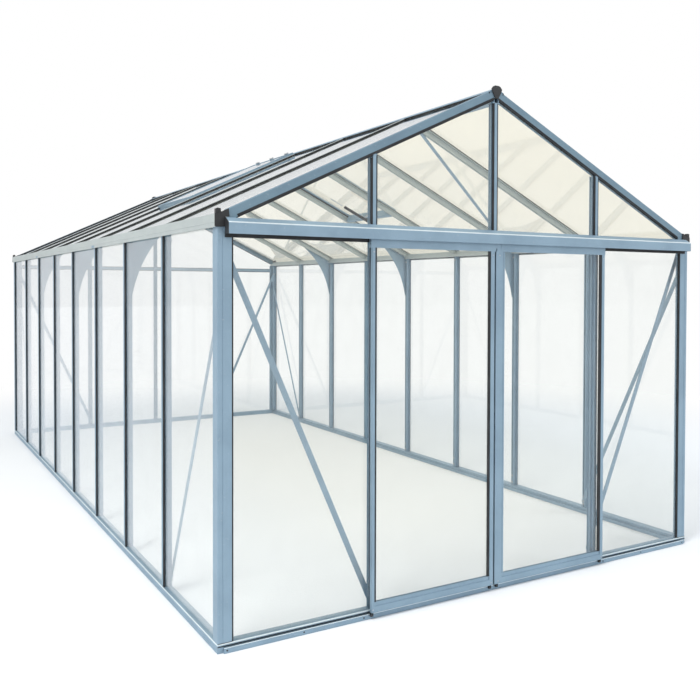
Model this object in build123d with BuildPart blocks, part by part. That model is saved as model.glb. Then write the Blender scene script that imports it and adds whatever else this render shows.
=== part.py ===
"""Aluminium greenhouse with clear glass, a hung pair of sliding doors and two roof vents.

All sizes are in millimetres. +X is right seen from the door gable, +Y runs along the ridge
towards the back, +Z is up, and the origin is the middle of the footprint on the ground.
"""

import os
from math import cos, degrees, atan2, radians, sin, tan

from build123d import *

os.makedirs("parts", exist_ok=True)

# Overall module
BAY = 765                     # pitch of the side studs and the roof bars
SIDE_BAYS = 8
GABLE_BAY = 735               # pitch of the gable mullions
CORNER = 48                   # from the outer corner to the first bay line
PITCH = 25.5                  # roof slope in degrees
EAVE_Z = 1895                 # roof line above the side walls, and top of the gutter

WIDTH = 4 * GABLE_BAY + 2 * CORNER
LENGTH = SIDE_BAYS * BAY + 2 * CORNER
HALF_W = WIDTH / 2
SLOPE_COS = cos(radians(PITCH))
SLOPE_SIN = sin(radians(PITCH))
SLOPE_TAN = tan(radians(PITCH))
RIDGE_Z = EAVE_Z + HALF_W * SLOPE_TAN

# Glazing layers, measured inwards from the outer face of the bars
GLASS_T = 4
GLASS_OUT = 10                # outer face of the glass
GLASS_IN = GLASS_OUT + GLASS_T
WALL = 3                      # wall of the extruded profiles
FLANGE_IN = GLASS_IN + WALL
FRAME_D = 48                  # full depth of every bar
EDGE_GAP = 3                  # between a pane and the bar beside it
SEAT_GAP = 0.3                # where one piece only just clears another

# Glazing bar
NOSE_W = 18
NOSE_CHAMFER = 2
FLANGE_W = 44
STEM_W = 16
LIP_W = 24                    # bolt-slot lips on the inner face
LIP_T = 4
SLOT_W = 8
SLOT_HEAD_W = 12
SLOT_LIP = 2
SLOT_D = 9
PANE_EDGE = NOSE_W / 2 + EDGE_GAP

# Glazing strip beside a bar
STRIP_W = 9
STRIP_D = 8                   # how far it stands off the glass

# Sill
SILL_H = 40
SILL_D = 60
SILL_STEP_H = 22
SILL_GROOVE = 2
SILL_WALL = 4

# Corner post and gable rafter
POST_FRONT = 66
POST_SIDE = 56
POST_FLANGE = 12
POST_CHAMFER = 3
POST_GROOVE_W = 3
POST_GROOVE_D = 1.2
RAFTER_TOP = 40
RAFTER_BODY = 34

# Gutter
GUTTER_OUT = 12               # stands out past the wall
GUTTER_H = 45                 # from its floor, on the studs, up to its rim
GUTTER_SKIRT_H = 12           # the face hangs below the floor
GUTTER_BASE = EAVE_Z - GUTTER_H
GUTTER_SKIRT = GUTTER_BASE - GUTTER_SKIRT_H
GUTTER_STEP = 2
GUTTER_FACE = 20              # height of the lower strip of its face, up to the step
GUTTER_LEDGE = 14             # sloping seat of the roof bars
TROUGH_WALL_GAP = 3           # from the rim down to the top of the inner wall
GLASS_OVER = 2                # roof glass past the wall line, over the trough

# Ridge
RIDGE_BODY = 30
RIDGE_WING = 50
RIDGE_WING_T = 3
RIDGE_DEPTH = 78
RIDGE_LIP = 7
RIDGE_LIP_T = 4
RIDGE_BASE_Z = RIDGE_Z - RIDGE_DEPTH

# Transoms
TRANSOM_H = 30
TRANSOM_GROOVE = 4
FRONT_TRANSOM_DROP = 57       # its middle, below the eaves
BACK_TRANSOM_DROP = 105
FRONT_TRANSOM_Z = EAVE_Z - FRONT_TRANSOM_DROP
BACK_TRANSOM_Z = EAVE_Z - BACK_TRANSOM_DROP

# Door header track, standing in front of the gable
HEADER_OUT = 50
HEADER_END = 34               # shorter than the gable at each end
HEADER_DROP = 15              # its top, below the eaves
HEADER_H = 58
HEADER_NOSE_H = 34            # upright part of its face
HEADER_Z0 = EAVE_Z - HEADER_DROP - HEADER_H
HEADER_TOP_FLAT = 14
HEADER_RAIL_W = 16            # turned-in bottom lip that the wheels run on
HEADER_BEAD_W = 3
HEADER_BEAD_H = 5
HEADER_CAP_T = 3

# Guide track at the foot of the gable
GUIDE_OUT = 44
GUIDE_T = 6
GUIDE_LIP_H = 18
GUIDE_LIP_T = 4
GUIDE_FIN_Q = 22              # middle of the fin, in front of the gable
GUIDE_FIN_T = 3
GUIDE_FIN_H = 24
GUIDE_END = 26

# Door leaves
DOOR_BACK = 12                # from the gable face to the back of a leaf
DOOR_T = 20
LEAF_LAP = 29                 # outer edge of a leaf, past the bay line
LEAF_OUT = GABLE_BAY + LEAF_LAP
MEET_LEFT = 15                # edge of the left leaf, left of the middle
MEET_RIGHT = 2                # edge of the right leaf, left of the middle
OUTER_STILE_W = 30
MEETING_STILE_W = 36
RAIL_OVERHANG = 8
RIGHT_RAIL_BACK = 15          # the right top rail stops short of its meeting stile
LEAF_Z0 = 34
BOTTOM_RAIL_H = 30
TOP_RAIL_H = 32
HEADER_GAP = 5                # running gap under the header
GROOVE_W = 8
GROOVE_D = 8
GLASS_BITE = 6
LEAF_STRIP_W = 9
LEAF_STRIP_T = 4
HANGER_T = 3
HANGER_H = 30
WHEEL_R = 11
WHEEL_T = 6
WHEEL_HUB_R = 4
WHEEL_INSET = 80
GUIDE_BLOCK_L = 40
GUIDE_BLOCK_W = 14
GUIDE_BLOCK_H = 16
GUIDE_BLOCK_GAP = 1

# Braces and knee plates
BRACE_W = 28
BRACE_SHIFT = 6               # roof brace end, beside the knee plate
BRACE_T = 3
BRACE_DROP = 105              # top fixing point, below the eaves
SIDE_BRACE_DROP = 240         # lower, so that the two braces of a corner pass each other
BRACE_FOOT_Z = 85
BRACE_CORNER = 34             # fixing point on the corner post, from the outer corner
KNEE_LEG = 340
KNEE_T = 3
KNEE_EDGE = 22                # plate edge, inside the bar's outer face
KNEE_ARC_IN = 85              # the hollow of its curved edge, in from the stud
KNEE_ARC_UP = 245

# Plastic caps
CAP_T = 6
CORNER_CAP_IN = 54
CORNER_CAP_DROP = 22          # below the gutter skirt
CORNER_CAP_RISE = 8
RIDGE_CAP_W = 46
RIDGE_CAP_H = 68
RIDGE_CAP_RISE = 14

# Roof vents
VENT_BAY = SIDE_BAYS // 2 - 1 # the bay just in front of the middle, counted from 0
VENT_SHARE = 0.57             # of the slope, from the ridge down
VENT_RAIL = 30
VENT_H = 14
VENT_REBATE = 8
VENT_SILL_W = 30
OPENER_R = 12
OPENER_L = 260
OPENER_DROP = 20

# The header stands out in front of the front gable, the end caps behind the back one
FRONT_Y = -LENGTH / 2 + (HEADER_OUT - CAP_T) / 2
BACK_Y = FRONT_Y + LENGTH
MIDDLE = Plane.XZ.offset(-(FRONT_Y + BACK_Y) / 2)

BAR_YS = [FRONT_Y + CORNER + k * BAY for k in range(1, SIDE_BAYS)]
MULLION_XS = [-GABLE_BAY, 0, GABLE_BAY]

UP = Vector(0, 0, 1)
DOWN = Vector(0, 0, -1)
RIGHT_IN = Vector(-1, 0, 0)
RIGHT_OUT = Vector(1, 0, 0)
FRONT_IN = Vector(0, 1, 0)
BACK_IN = Vector(0, -1, 0)

# The right slope: local x runs down from the ridge line, y along the ridge, z out of the roof
SLOPE = Plane(origin=(0, 0, RIDGE_Z), x_dir=(SLOPE_COS, 0, -SLOPE_SIN), z_dir=(SLOPE_SIN, 0, SLOPE_COS))
SLOPE_DOWN = Vector(SLOPE_COS, 0, -SLOPE_SIN)
LEFT_SLOPE = Plane(origin=(0, 0, RIDGE_Z), x_dir=(-SLOPE_COS, 0, -SLOPE_SIN), z_dir=(-SLOPE_SIN, 0, SLOPE_COS))
FRAME_RISE = FRAME_D / SLOPE_COS      # depth of a roof bar measured straight down
BAR_TOP_X = RIDGE_BODY / 2
BAR_FOOT_X = HALF_W - FRAME_D


def slope_z(x):
    """Height of the roof line, the outer face of the roof bars, at a distance from the ridge."""
    return RIDGE_Z - abs(x) * SLOPE_TAN


def section_plane(origin, inward, along):
    """Plane across a profile: local y points into the building and z along the profile."""
    return Plane(origin=origin, x_dir=inward.cross(along), z_dir=along)


def bar_section(steep=1):
    """Glazing bar: nose between two panes, flange behind them, stem with a bolt slot.

    On the roof a bar is cut upright at its ends, and its depths grow by the factor `steep`.
    """
    with BuildSketch() as section:
        with BuildLine():
            Polyline(
                (0, 0),
                (NOSE_W / 2 - NOSE_CHAMFER, 0),
                (NOSE_W / 2, NOSE_CHAMFER * steep),
                (NOSE_W / 2, GLASS_IN * steep),
                (FLANGE_W / 2, GLASS_IN * steep),
                (FLANGE_W / 2, FLANGE_IN * steep),
                (STEM_W / 2, FLANGE_IN * steep),
                (STEM_W / 2, (FRAME_D - LIP_T) * steep),
                (LIP_W / 2, (FRAME_D - LIP_T) * steep),
                (LIP_W / 2, FRAME_D * steep),
                (SLOT_W / 2, FRAME_D * steep),
                (SLOT_W / 2, (FRAME_D - SLOT_LIP) * steep),
                (SLOT_HEAD_W / 2, (FRAME_D - SLOT_LIP) * steep),
                (SLOT_HEAD_W / 2, (FRAME_D - SLOT_D) * steep),
                (0, (FRAME_D - SLOT_D) * steep),
            )
            mirror(about=Plane.YZ)
        make_face()
    return section.sketch


def nose_section(steep=1):
    """The outer part of a glazing bar, which runs on over the gutter with the glass."""
    with BuildSketch() as section:
        with BuildLine():
            Polyline(
                (0, 0),
                (NOSE_W / 2 - NOSE_CHAMFER, 0),
                (NOSE_W / 2, NOSE_CHAMFER * steep),
                (NOSE_W / 2, GLASS_IN * steep),
                (FLANGE_W / 2, GLASS_IN * steep),
                (FLANGE_W / 2, FLANGE_IN * steep),
                (0, FLANGE_IN * steep),
            )
            mirror(about=Plane.YZ)
        make_face()
    return section.sketch


def strip_section(edge, side, steep=1):
    """A rubber glazing strip that lies on the glass, from `edge` outwards to one side."""
    with BuildSketch() as section:
        with BuildLine():
            Polyline(
                (edge, GLASS_OUT * steep),
                (edge + side * STRIP_W, GLASS_OUT * steep),
                (edge + side * STRIP_W, (GLASS_OUT - STRIP_D / 2) * steep),
                (edge + side * STRIP_W / 2, (GLASS_OUT - STRIP_D) * steep),
                (edge, (GLASS_OUT - STRIP_D) * steep),
                close=True,
            )
        make_face()
    return section.sketch


def bar_strips_section(steep=1):
    """The pair of glazing strips on both sides of a bar."""
    with BuildSketch() as section:
        add(strip_section(NOSE_W / 2, 1, steep))
        add(strip_section(-NOSE_W / 2, -1, steep))
    return section.sketch


def corner_section(front, side, body, flanges, steep=1):
    """Two-faced hollow profile: local x runs along its front face and y along its side face."""
    with BuildSketch() as section:
        outline = [
            (POST_CHAMFER, 0),
            (front / 3, 0),
            (front / 3, POST_GROOVE_D * steep),
            (front / 3 + POST_GROOVE_W, POST_GROOVE_D * steep),
            (front / 3 + POST_GROOVE_W, 0),
            (front, 0),
            (front, GLASS_IN * steep),
            (front + POST_FLANGE, GLASS_IN * steep),
            (front + POST_FLANGE, FLANGE_IN * steep),
            (body, FLANGE_IN * steep),
            (body, FRAME_D * steep),
        ]
        if flanges:
            outline += [
                (FLANGE_IN, FRAME_D),
                (FLANGE_IN, side + POST_FLANGE),
                (GLASS_IN, side + POST_FLANGE),
                (GLASS_IN, side),
            ]
        outline += [(0, side * steep), (0, POST_CHAMFER * steep)]
        with BuildLine():
            Polyline(*outline, close=True)
        make_face()
        with Locations((body / 2, FRAME_D * steep / 2)):
            Rectangle(body - 2 * WALL, (FRAME_D - 2 * WALL) * steep, mode=Mode.SUBTRACT)
    return section.sketch


def sill_section():
    """Hollow stepped sill: local x runs into the building from its outer face, y is up."""
    with BuildSketch() as section:
        with BuildLine():
            Polyline(
                (0, 0),
                (0, SILL_STEP_H / 2),
                (SILL_GROOVE, SILL_STEP_H / 2 + SILL_GROOVE),
                (SILL_GROOVE, SILL_STEP_H),
                (0, SILL_STEP_H + SILL_GROOVE),
                (0, SILL_H),
                (FRAME_D, SILL_H),
                (FRAME_D, SILL_STEP_H),
                (SILL_D, SILL_STEP_H),
                (SILL_D, 0),
                close=True,
            )
        make_face()
        with Locations((FRAME_D / 2, SILL_H / 2)):
            Rectangle(FRAME_D - 2 * SILL_WALL, SILL_H - 2 * SILL_WALL, mode=Mode.SUBTRACT)
    return section.sketch


def transom_section():
    """Rectangular rail with a shallow groove in its outer face: local x into the wall, y up."""
    with BuildSketch() as section:
        with Locations((FRAME_D / 2, 0)):
            Rectangle(FRAME_D, TRANSOM_H)
            Rectangle(FRAME_D - 2 * WALL, TRANSOM_H - 2 * WALL, mode=Mode.SUBTRACT)
        with Locations((0, 0)):
            Rectangle(WALL, TRANSOM_GROOVE, mode=Mode.SUBTRACT)
    return section.sketch


def pane_spans(first, stops, last):
    """Both edges of every pane between two end profiles, with bars at `stops`."""
    edges = [first + EDGE_GAP]
    for stop in stops:
        edges += [stop - PANE_EDGE, stop + PANE_EDGE]
    edges.append(last - EDGE_GAP)
    return list(zip(edges[::2], edges[1::2]))


def rectangle_between(x0, x1, y0, y1):
    """Rectangle given by its edges."""
    with Locations(((x0 + x1) / 2, (y0 + y1) / 2)):
        Rectangle(x1 - x0, y1 - y0)


def strip_between(x0, y0, x1, y1, width):
    """Flat bar with rounded ends between two fixing points in the sketch plane."""
    length = ((x1 - x0) ** 2 + (y1 - y0) ** 2) ** 0.5
    with Locations(Location(((x0 + x1) / 2, (y0 + y1) / 2, 0), (0, 0, degrees(atan2(y1 - y0, x1 - x0))))):
        SlotCenterToCenter(length, width)


# Sills: the side sills run the full length and the gable sills fit between them
with BuildPart() as side_sills:
    with BuildSketch(Plane(origin=(-HALF_W, BACK_Y, 0), x_dir=(1, 0, 0), z_dir=(0, -1, 0))):
        add(sill_section())
    extrude(amount=LENGTH)
    mirror(about=Plane.YZ)

GABLE_SILL_L = WIDTH - 2 * FRAME_D
with BuildPart() as gable_sills:
    with BuildSketch(Plane(origin=(-GABLE_SILL_L / 2, FRONT_Y, 0), x_dir=(0, 1, 0), z_dir=(1, 0, 0))):
        add(sill_section())
    extrude(amount=GABLE_SILL_L)
    mirror(about=MIDDLE)
    add(side_sills.part, mode=Mode.SUBTRACT)

# Corner posts stand on the side sills, under the gutters
with BuildPart() as corner_posts:
    with BuildSketch(Plane(origin=(-HALF_W, FRONT_Y, SILL_H))):
        add(corner_section(POST_FRONT, POST_SIDE, FRAME_D, flanges=True))
    extrude(amount=GUTTER_BASE - SILL_H)
    mirror(about=Plane.YZ)
    mirror(about=MIDDLE)

# Side studs, one at each bay line
with BuildPart() as right_studs:
    with BuildSketch(*[section_plane((HALF_W, y, SILL_H), RIGHT_IN, UP) for y in BAR_YS]):
        add(bar_section())
    extrude(amount=GUTTER_BASE - SILL_H)

with BuildPart() as left_studs:
    mirror(right_studs.part, about=Plane.YZ)

# Gutters: a trough outside the feet of the roof bars, with a sloping ledge under them
GUTTER_X = HALF_W + GUTTER_OUT
GUTTER_STEP_Z = GUTTER_SKIRT + GUTTER_FACE
TROUGH_FLOOR = GUTTER_BASE + WALL
LEDGE_X = BAR_FOOT_X - GUTTER_LEDGE
with BuildPart() as gutters:
    with BuildSketch(Plane(origin=(0, BACK_Y, 0), x_dir=(1, 0, 0), z_dir=(0, -1, 0))):
        with BuildLine():
            Polyline(
                (GUTTER_X, EAVE_Z),
                (GUTTER_X, GUTTER_STEP_Z),
                (GUTTER_X - GUTTER_STEP, GUTTER_STEP_Z - GUTTER_STEP),
                (GUTTER_X - GUTTER_STEP, GUTTER_SKIRT),
                (GUTTER_X - GUTTER_STEP - WALL, GUTTER_SKIRT),
                (GUTTER_X - GUTTER_STEP - WALL, GUTTER_BASE),
                (LEDGE_X, GUTTER_BASE),
                (LEDGE_X, slope_z(LEDGE_X) - FRAME_RISE),
                (BAR_FOOT_X, slope_z(BAR_FOOT_X) - FRAME_RISE),
                (BAR_FOOT_X, EAVE_Z - TROUGH_WALL_GAP),
                (BAR_FOOT_X + WALL, EAVE_Z - TROUGH_WALL_GAP),
                (BAR_FOOT_X + WALL, TROUGH_FLOOR),
                (GUTTER_X - WALL, TROUGH_FLOOR),
                (GUTTER_X - WALL, EAVE_Z),
                close=True,
            )
        make_face()
    extrude(amount=LENGTH)
    mirror(about=Plane.YZ)

# Ridge beam: hollow body between the two rows of bars, under a pair of cap wings
WING_RISE = RIDGE_WING_T / SLOPE_COS
RIDGE_VOID_H = slope_z(BAR_TOP_X) - RIDGE_BASE_Z - 2 * WALL
with BuildPart() as ridge_beam:
    with BuildSketch(Plane(origin=(0, BACK_Y, 0), x_dir=(1, 0, 0), z_dir=(0, -1, 0))):
        with BuildLine():
            Polyline(
                (0, RIDGE_Z + WING_RISE),
                (RIDGE_WING, slope_z(RIDGE_WING) + WING_RISE),
                (RIDGE_WING, slope_z(RIDGE_WING)),
                (BAR_TOP_X, slope_z(BAR_TOP_X)),
                (BAR_TOP_X, RIDGE_BASE_Z + RIDGE_LIP_T),
                (BAR_TOP_X + RIDGE_LIP, RIDGE_BASE_Z + RIDGE_LIP_T),
                (BAR_TOP_X + RIDGE_LIP, RIDGE_BASE_Z),
                (0, RIDGE_BASE_Z),
            )
            mirror(about=Plane.YZ)
        make_face()
        with Locations((0, RIDGE_BASE_Z + WALL + RIDGE_VOID_H / 2)):
            Rectangle(RIDGE_BODY - 2 * WALL, RIDGE_VOID_H, mode=Mode.SUBTRACT)
    extrude(amount=LENGTH)

# Roof bars: the stem butts on the trough wall and the nose runs on over the trough
STEM_RUN = (BAR_FOOT_X - BAR_TOP_X) / SLOPE_COS
NOSE_RUN = (HALF_W + GLASS_OVER - BAR_TOP_X) / SLOPE_COS
bar_tops = [section_plane((BAR_TOP_X, y, slope_z(BAR_TOP_X)), DOWN, RIGHT_OUT) for y in BAR_YS]
with BuildPart() as right_roof_bars:
    with BuildSketch(*bar_tops):
        add(bar_section(1 / SLOPE_COS))
    extrude(amount=STEM_RUN, dir=SLOPE_DOWN)
    with BuildSketch(*bar_tops):
        add(nose_section(1 / SLOPE_COS))
    extrude(amount=NOSE_RUN, dir=SLOPE_DOWN)

with BuildPart() as left_roof_bars:
    mirror(right_roof_bars.part, about=Plane.YZ)

# Gable rafters: edge profiles of the roof, cut upright at the ridge and at the gutter
with BuildPart() as front_rafters:
    rafter_top = Plane(origin=(BAR_TOP_X, FRONT_Y, slope_z(BAR_TOP_X)), x_dir=(0, 1, 0), z_dir=(-1, 0, 0))
    with BuildSketch(rafter_top):
        add(corner_section(RAFTER_TOP, FRAME_D, RAFTER_BODY, flanges=False, steep=1 / SLOPE_COS))
    extrude(amount=STEM_RUN, dir=SLOPE_DOWN)
    mirror(about=Plane.YZ)

with BuildPart() as back_rafters:
    mirror(front_rafters.part, about=MIDDLE)

# Transoms between the corner posts
TRANSOM_L = WIDTH - 2 * (POST_FRONT + POST_FLANGE)
with BuildPart() as front_transom:
    with BuildSketch(Plane(origin=(-TRANSOM_L / 2, FRONT_Y, FRONT_TRANSOM_Z), x_dir=(0, 1, 0), z_dir=(1, 0, 0))):
        add(transom_section())
    extrude(amount=TRANSOM_L)

with BuildPart() as back_transom:
    with BuildSketch(Plane(origin=(TRANSOM_L / 2, BACK_Y, BACK_TRANSOM_Z), x_dir=(0, -1, 0), z_dir=(-1, 0, 0))):
        add(transom_section())
    extrude(amount=TRANSOM_L)

# Gable mullions below and above the transoms, cut to the underside of the rafters
ROOF_UNDER = SLOPE.offset(-FRAME_D)
LEFT_ROOF_UNDER = LEFT_SLOPE.offset(-FRAME_D)
FRONT_LOW_TOP = FRONT_TRANSOM_Z - TRANSOM_H / 2
FRONT_HIGH_BASE = FRONT_TRANSOM_Z + TRANSOM_H / 2
with BuildPart() as front_mullions:
    with BuildSketch(*[section_plane((x, FRONT_Y, FRONT_HIGH_BASE), FRONT_IN, UP) for x in MULLION_XS]):
        add(bar_section())
    extrude(amount=RIDGE_BASE_Z - FRONT_HIGH_BASE)
    split(bisect_by=ROOF_UNDER, keep=Keep.BOTTOM)
    split(bisect_by=LEFT_ROOF_UNDER, keep=Keep.BOTTOM)
    with BuildSketch(*[section_plane((x, FRONT_Y, SILL_H), FRONT_IN, UP) for x in (-GABLE_BAY, GABLE_BAY)]):
        add(bar_section())
    extrude(amount=FRONT_LOW_TOP - SILL_H)

BACK_LOW_TOP = BACK_TRANSOM_Z - TRANSOM_H / 2
BACK_HIGH_BASE = BACK_TRANSOM_Z + TRANSOM_H / 2
with BuildPart() as back_mullions:
    with BuildSketch(*[section_plane((x, BACK_Y, BACK_HIGH_BASE), BACK_IN, UP) for x in MULLION_XS]):
        add(bar_section())
    extrude(amount=RIDGE_BASE_Z - BACK_HIGH_BASE)
    split(bisect_by=ROOF_UNDER, keep=Keep.BOTTOM)
    split(bisect_by=LEFT_ROOF_UNDER, keep=Keep.BOTTOM)
    with BuildSketch(*[section_plane((x, BACK_Y, SILL_H), BACK_IN, UP) for x in MULLION_XS]):
        add(bar_section())
    extrude(amount=BACK_LOW_TOP - SILL_H)

# Door header: a hollow track in front of the gable, open below between its back and its rail
HEADER_L = WIDTH - 2 * HEADER_END
HEADER_NOSE_Z = HEADER_Z0 + HEADER_NOSE_H
HEADER_Z1 = HEADER_Z0 + HEADER_H
HEADER_PLANE = Plane(origin=(-HEADER_L / 2, FRONT_Y, 0), x_dir=(0, -1, 0), z_dir=(-1, 0, 0))
RAIL_IN = HEADER_OUT - HEADER_RAIL_W
with BuildPart() as door_header_track:
    with BuildSketch(HEADER_PLANE) as header_section:
        with BuildLine():
            Polyline(
                (0, HEADER_Z0),
                (0, HEADER_Z1),
                (HEADER_TOP_FLAT, HEADER_Z1),
                (HEADER_OUT - WALL / 2, HEADER_NOSE_Z + WALL),
                (HEADER_OUT, HEADER_NOSE_Z),
                (HEADER_OUT, HEADER_Z0),
                (RAIL_IN, HEADER_Z0),
                (RAIL_IN, HEADER_Z0 + WALL + HEADER_BEAD_H),
                (RAIL_IN + HEADER_BEAD_W, HEADER_Z0 + WALL + HEADER_BEAD_H),
                (RAIL_IN + HEADER_BEAD_W, HEADER_Z0 + WALL),
                (HEADER_OUT - WALL, HEADER_Z0 + WALL),
                (HEADER_OUT - WALL, HEADER_NOSE_Z),
                (HEADER_TOP_FLAT, HEADER_Z1 - WALL),
                (WALL, HEADER_Z1 - WALL),
                (WALL, HEADER_Z0),
                close=True,
            )
        make_face()
    extrude(amount=-HEADER_L)
    with BuildSketch(HEADER_PLANE.offset(-HEADER_L), HEADER_PLANE.offset(-HEADER_CAP_T)):
        with BuildLine():
            Polyline(
                (0, HEADER_Z0),
                (0, HEADER_Z1),
                (HEADER_TOP_FLAT, HEADER_Z1),
                (HEADER_OUT - WALL / 2, HEADER_NOSE_Z + WALL),
                (HEADER_OUT, HEADER_NOSE_Z),
                (HEADER_OUT, HEADER_Z0),
                close=True,
            )
        make_face()
    extrude(amount=HEADER_CAP_T)

# Guide track: a stepped threshold with a fin that the guide blocks straddle
GUIDE_L = WIDTH - 2 * GUIDE_END
with BuildPart() as door_guide_track:
    with BuildSketch(Plane(origin=(GUIDE_L / 2, FRONT_Y, 0), x_dir=(0, -1, 0), z_dir=(-1, 0, 0))):
        with BuildLine():
            Polyline(
                (0, 0),
                (0, GUIDE_LIP_H),
                (GUIDE_LIP_T, GUIDE_LIP_H),
                (GUIDE_LIP_T, GUIDE_T),
                (GUIDE_FIN_Q - GUIDE_FIN_T / 2, GUIDE_T),
                (GUIDE_FIN_Q - GUIDE_FIN_T / 2, GUIDE_FIN_H),
                (GUIDE_FIN_Q + GUIDE_FIN_T / 2, GUIDE_FIN_H),
                (GUIDE_FIN_Q + GUIDE_FIN_T / 2, GUIDE_T),
                (GUIDE_OUT - GUIDE_LIP_T, GUIDE_T),
                (GUIDE_OUT - GUIDE_LIP_T, GUIDE_LIP_H),
                (GUIDE_OUT, GUIDE_LIP_H - GUIDE_LIP_T / 2),
                (GUIDE_OUT, 0),
                close=True,
            )
        make_face()
    extrude(amount=GUIDE_L)

# Wall glass, one pane a bay, standing on the sill
SIDE_SPANS = pane_spans(FRONT_Y + POST_SIDE, BAR_YS, BACK_Y - POST_SIDE)
with BuildPart() as right_wall_glass:
    with BuildSketch(Plane(origin=(HALF_W - GLASS_OUT, 0, 0), x_dir=(0, 1, 0), z_dir=(1, 0, 0))):
        for y0, y1 in SIDE_SPANS:
            rectangle_between(y0, y1, SILL_H, GUTTER_BASE - EDGE_GAP)
    extrude(amount=-GLASS_T)

with BuildPart() as left_wall_glass:
    mirror(right_wall_glass.part, about=Plane.YZ)

# Roof glass: every pane runs from the ridge out over the trough, but for the one below the vent
VENT_TOP_S = (RIDGE_WING + EDGE_GAP) / SLOPE_COS
VENT_FOOT_S = VENT_SHARE * HALF_W / SLOPE_COS
PANE_TOP_S = (BAR_TOP_X + EDGE_GAP + GLASS_IN * SLOPE_SIN) / SLOPE_COS
PANE_FOOT_S = (HALF_W + GLASS_OVER) / SLOPE_COS
ROOF_SPANS = pane_spans(FRONT_Y + RAFTER_TOP, BAR_YS, BACK_Y - RAFTER_TOP)
with BuildPart() as right_roof_glass:
    with BuildSketch(SLOPE.offset(-GLASS_OUT)):
        for bay, (y0, y1) in enumerate(ROOF_SPANS):
            rectangle_between(VENT_FOOT_S + EDGE_GAP if bay == VENT_BAY else PANE_TOP_S, PANE_FOOT_S, y0, y1)
    extrude(amount=-GLASS_T)

with BuildPart() as left_roof_glass:
    mirror(right_roof_glass.part, about=Plane.YZ)

# Gable glass: upright panes below the transom, panes cut to the rafters above it
POST_EDGE = HALF_W - POST_FRONT - EDGE_GAP
PANE_DROP = FRAME_RISE + EDGE_GAP


def gable_pane(x0, x1, base):
    """Pane from `base` up to the rafter, cut to the roof slope."""
    with BuildSketch() as section:
        with BuildLine():
            Polyline(
                (x0, base),
                (x1, base),
                (x1, slope_z(x1) - PANE_DROP),
                (x0, slope_z(x0) - PANE_DROP),
                close=True,
            )
        make_face()
    return section.sketch


with BuildPart() as front_gable_glass:
    with BuildSketch(Plane(origin=(0, FRONT_Y + GLASS_OUT, 0), x_dir=(1, 0, 0), z_dir=(0, -1, 0))):
        add(gable_pane(GABLE_BAY + PANE_EDGE, POST_EDGE, FRONT_HIGH_BASE + EDGE_GAP))
        add(gable_pane(PANE_EDGE + BAR_TOP_X, GABLE_BAY - PANE_EDGE, FRONT_HIGH_BASE + EDGE_GAP))
        rectangle_between(GABLE_BAY + PANE_EDGE, POST_EDGE, SILL_H, FRONT_LOW_TOP - EDGE_GAP)
        mirror(about=Plane.YZ)
    extrude(amount=-GLASS_T)

with BuildPart() as back_gable_glass:
    with BuildSketch(Plane(origin=(0, BACK_Y - GLASS_OUT, 0), x_dir=(1, 0, 0), z_dir=(0, -1, 0))):
        add(gable_pane(GABLE_BAY + PANE_EDGE, POST_EDGE, BACK_HIGH_BASE + EDGE_GAP))
        add(gable_pane(PANE_EDGE + BAR_TOP_X, GABLE_BAY - PANE_EDGE, BACK_HIGH_BASE + EDGE_GAP))
        rectangle_between(GABLE_BAY + PANE_EDGE, POST_EDGE, SILL_H, BACK_LOW_TOP - EDGE_GAP)
        rectangle_between(PANE_EDGE, GABLE_BAY - PANE_EDGE, SILL_H, BACK_LOW_TOP - EDGE_GAP)
        mirror(about=Plane.YZ)
    extrude(amount=GLASS_T)

# Glazing strips on both sides of every bar, and beside the posts
with BuildPart() as wall_gaskets:
    with BuildSketch(*[section_plane((HALF_W, y, SILL_H), RIGHT_IN, UP) for y in BAR_YS]):
        add(bar_strips_section())
    with BuildSketch(section_plane((HALF_W, 0, SILL_H), RIGHT_IN, UP)):
        add(strip_section(FRONT_Y + POST_SIDE, 1))
        add(strip_section(BACK_Y - POST_SIDE, -1))
    extrude(amount=GUTTER_BASE - SILL_H)
    mirror(about=Plane.YZ)

with BuildPart() as roof_gaskets:
    with BuildSketch(*bar_tops):
        add(bar_strips_section(1 / SLOPE_COS))
    extrude(amount=NOSE_RUN, dir=SLOPE_DOWN)
    with BuildSketch(section_plane((BAR_TOP_X, 0, slope_z(BAR_TOP_X)), DOWN, RIGHT_OUT)):
        add(strip_section(-(FRONT_Y + RAFTER_TOP), -1, 1 / SLOPE_COS))
        add(strip_section(-(BACK_Y - RAFTER_TOP), 1, 1 / SLOPE_COS))
    extrude(amount=STEM_RUN, dir=SLOPE_DOWN)
    mirror(about=Plane.YZ)

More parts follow.
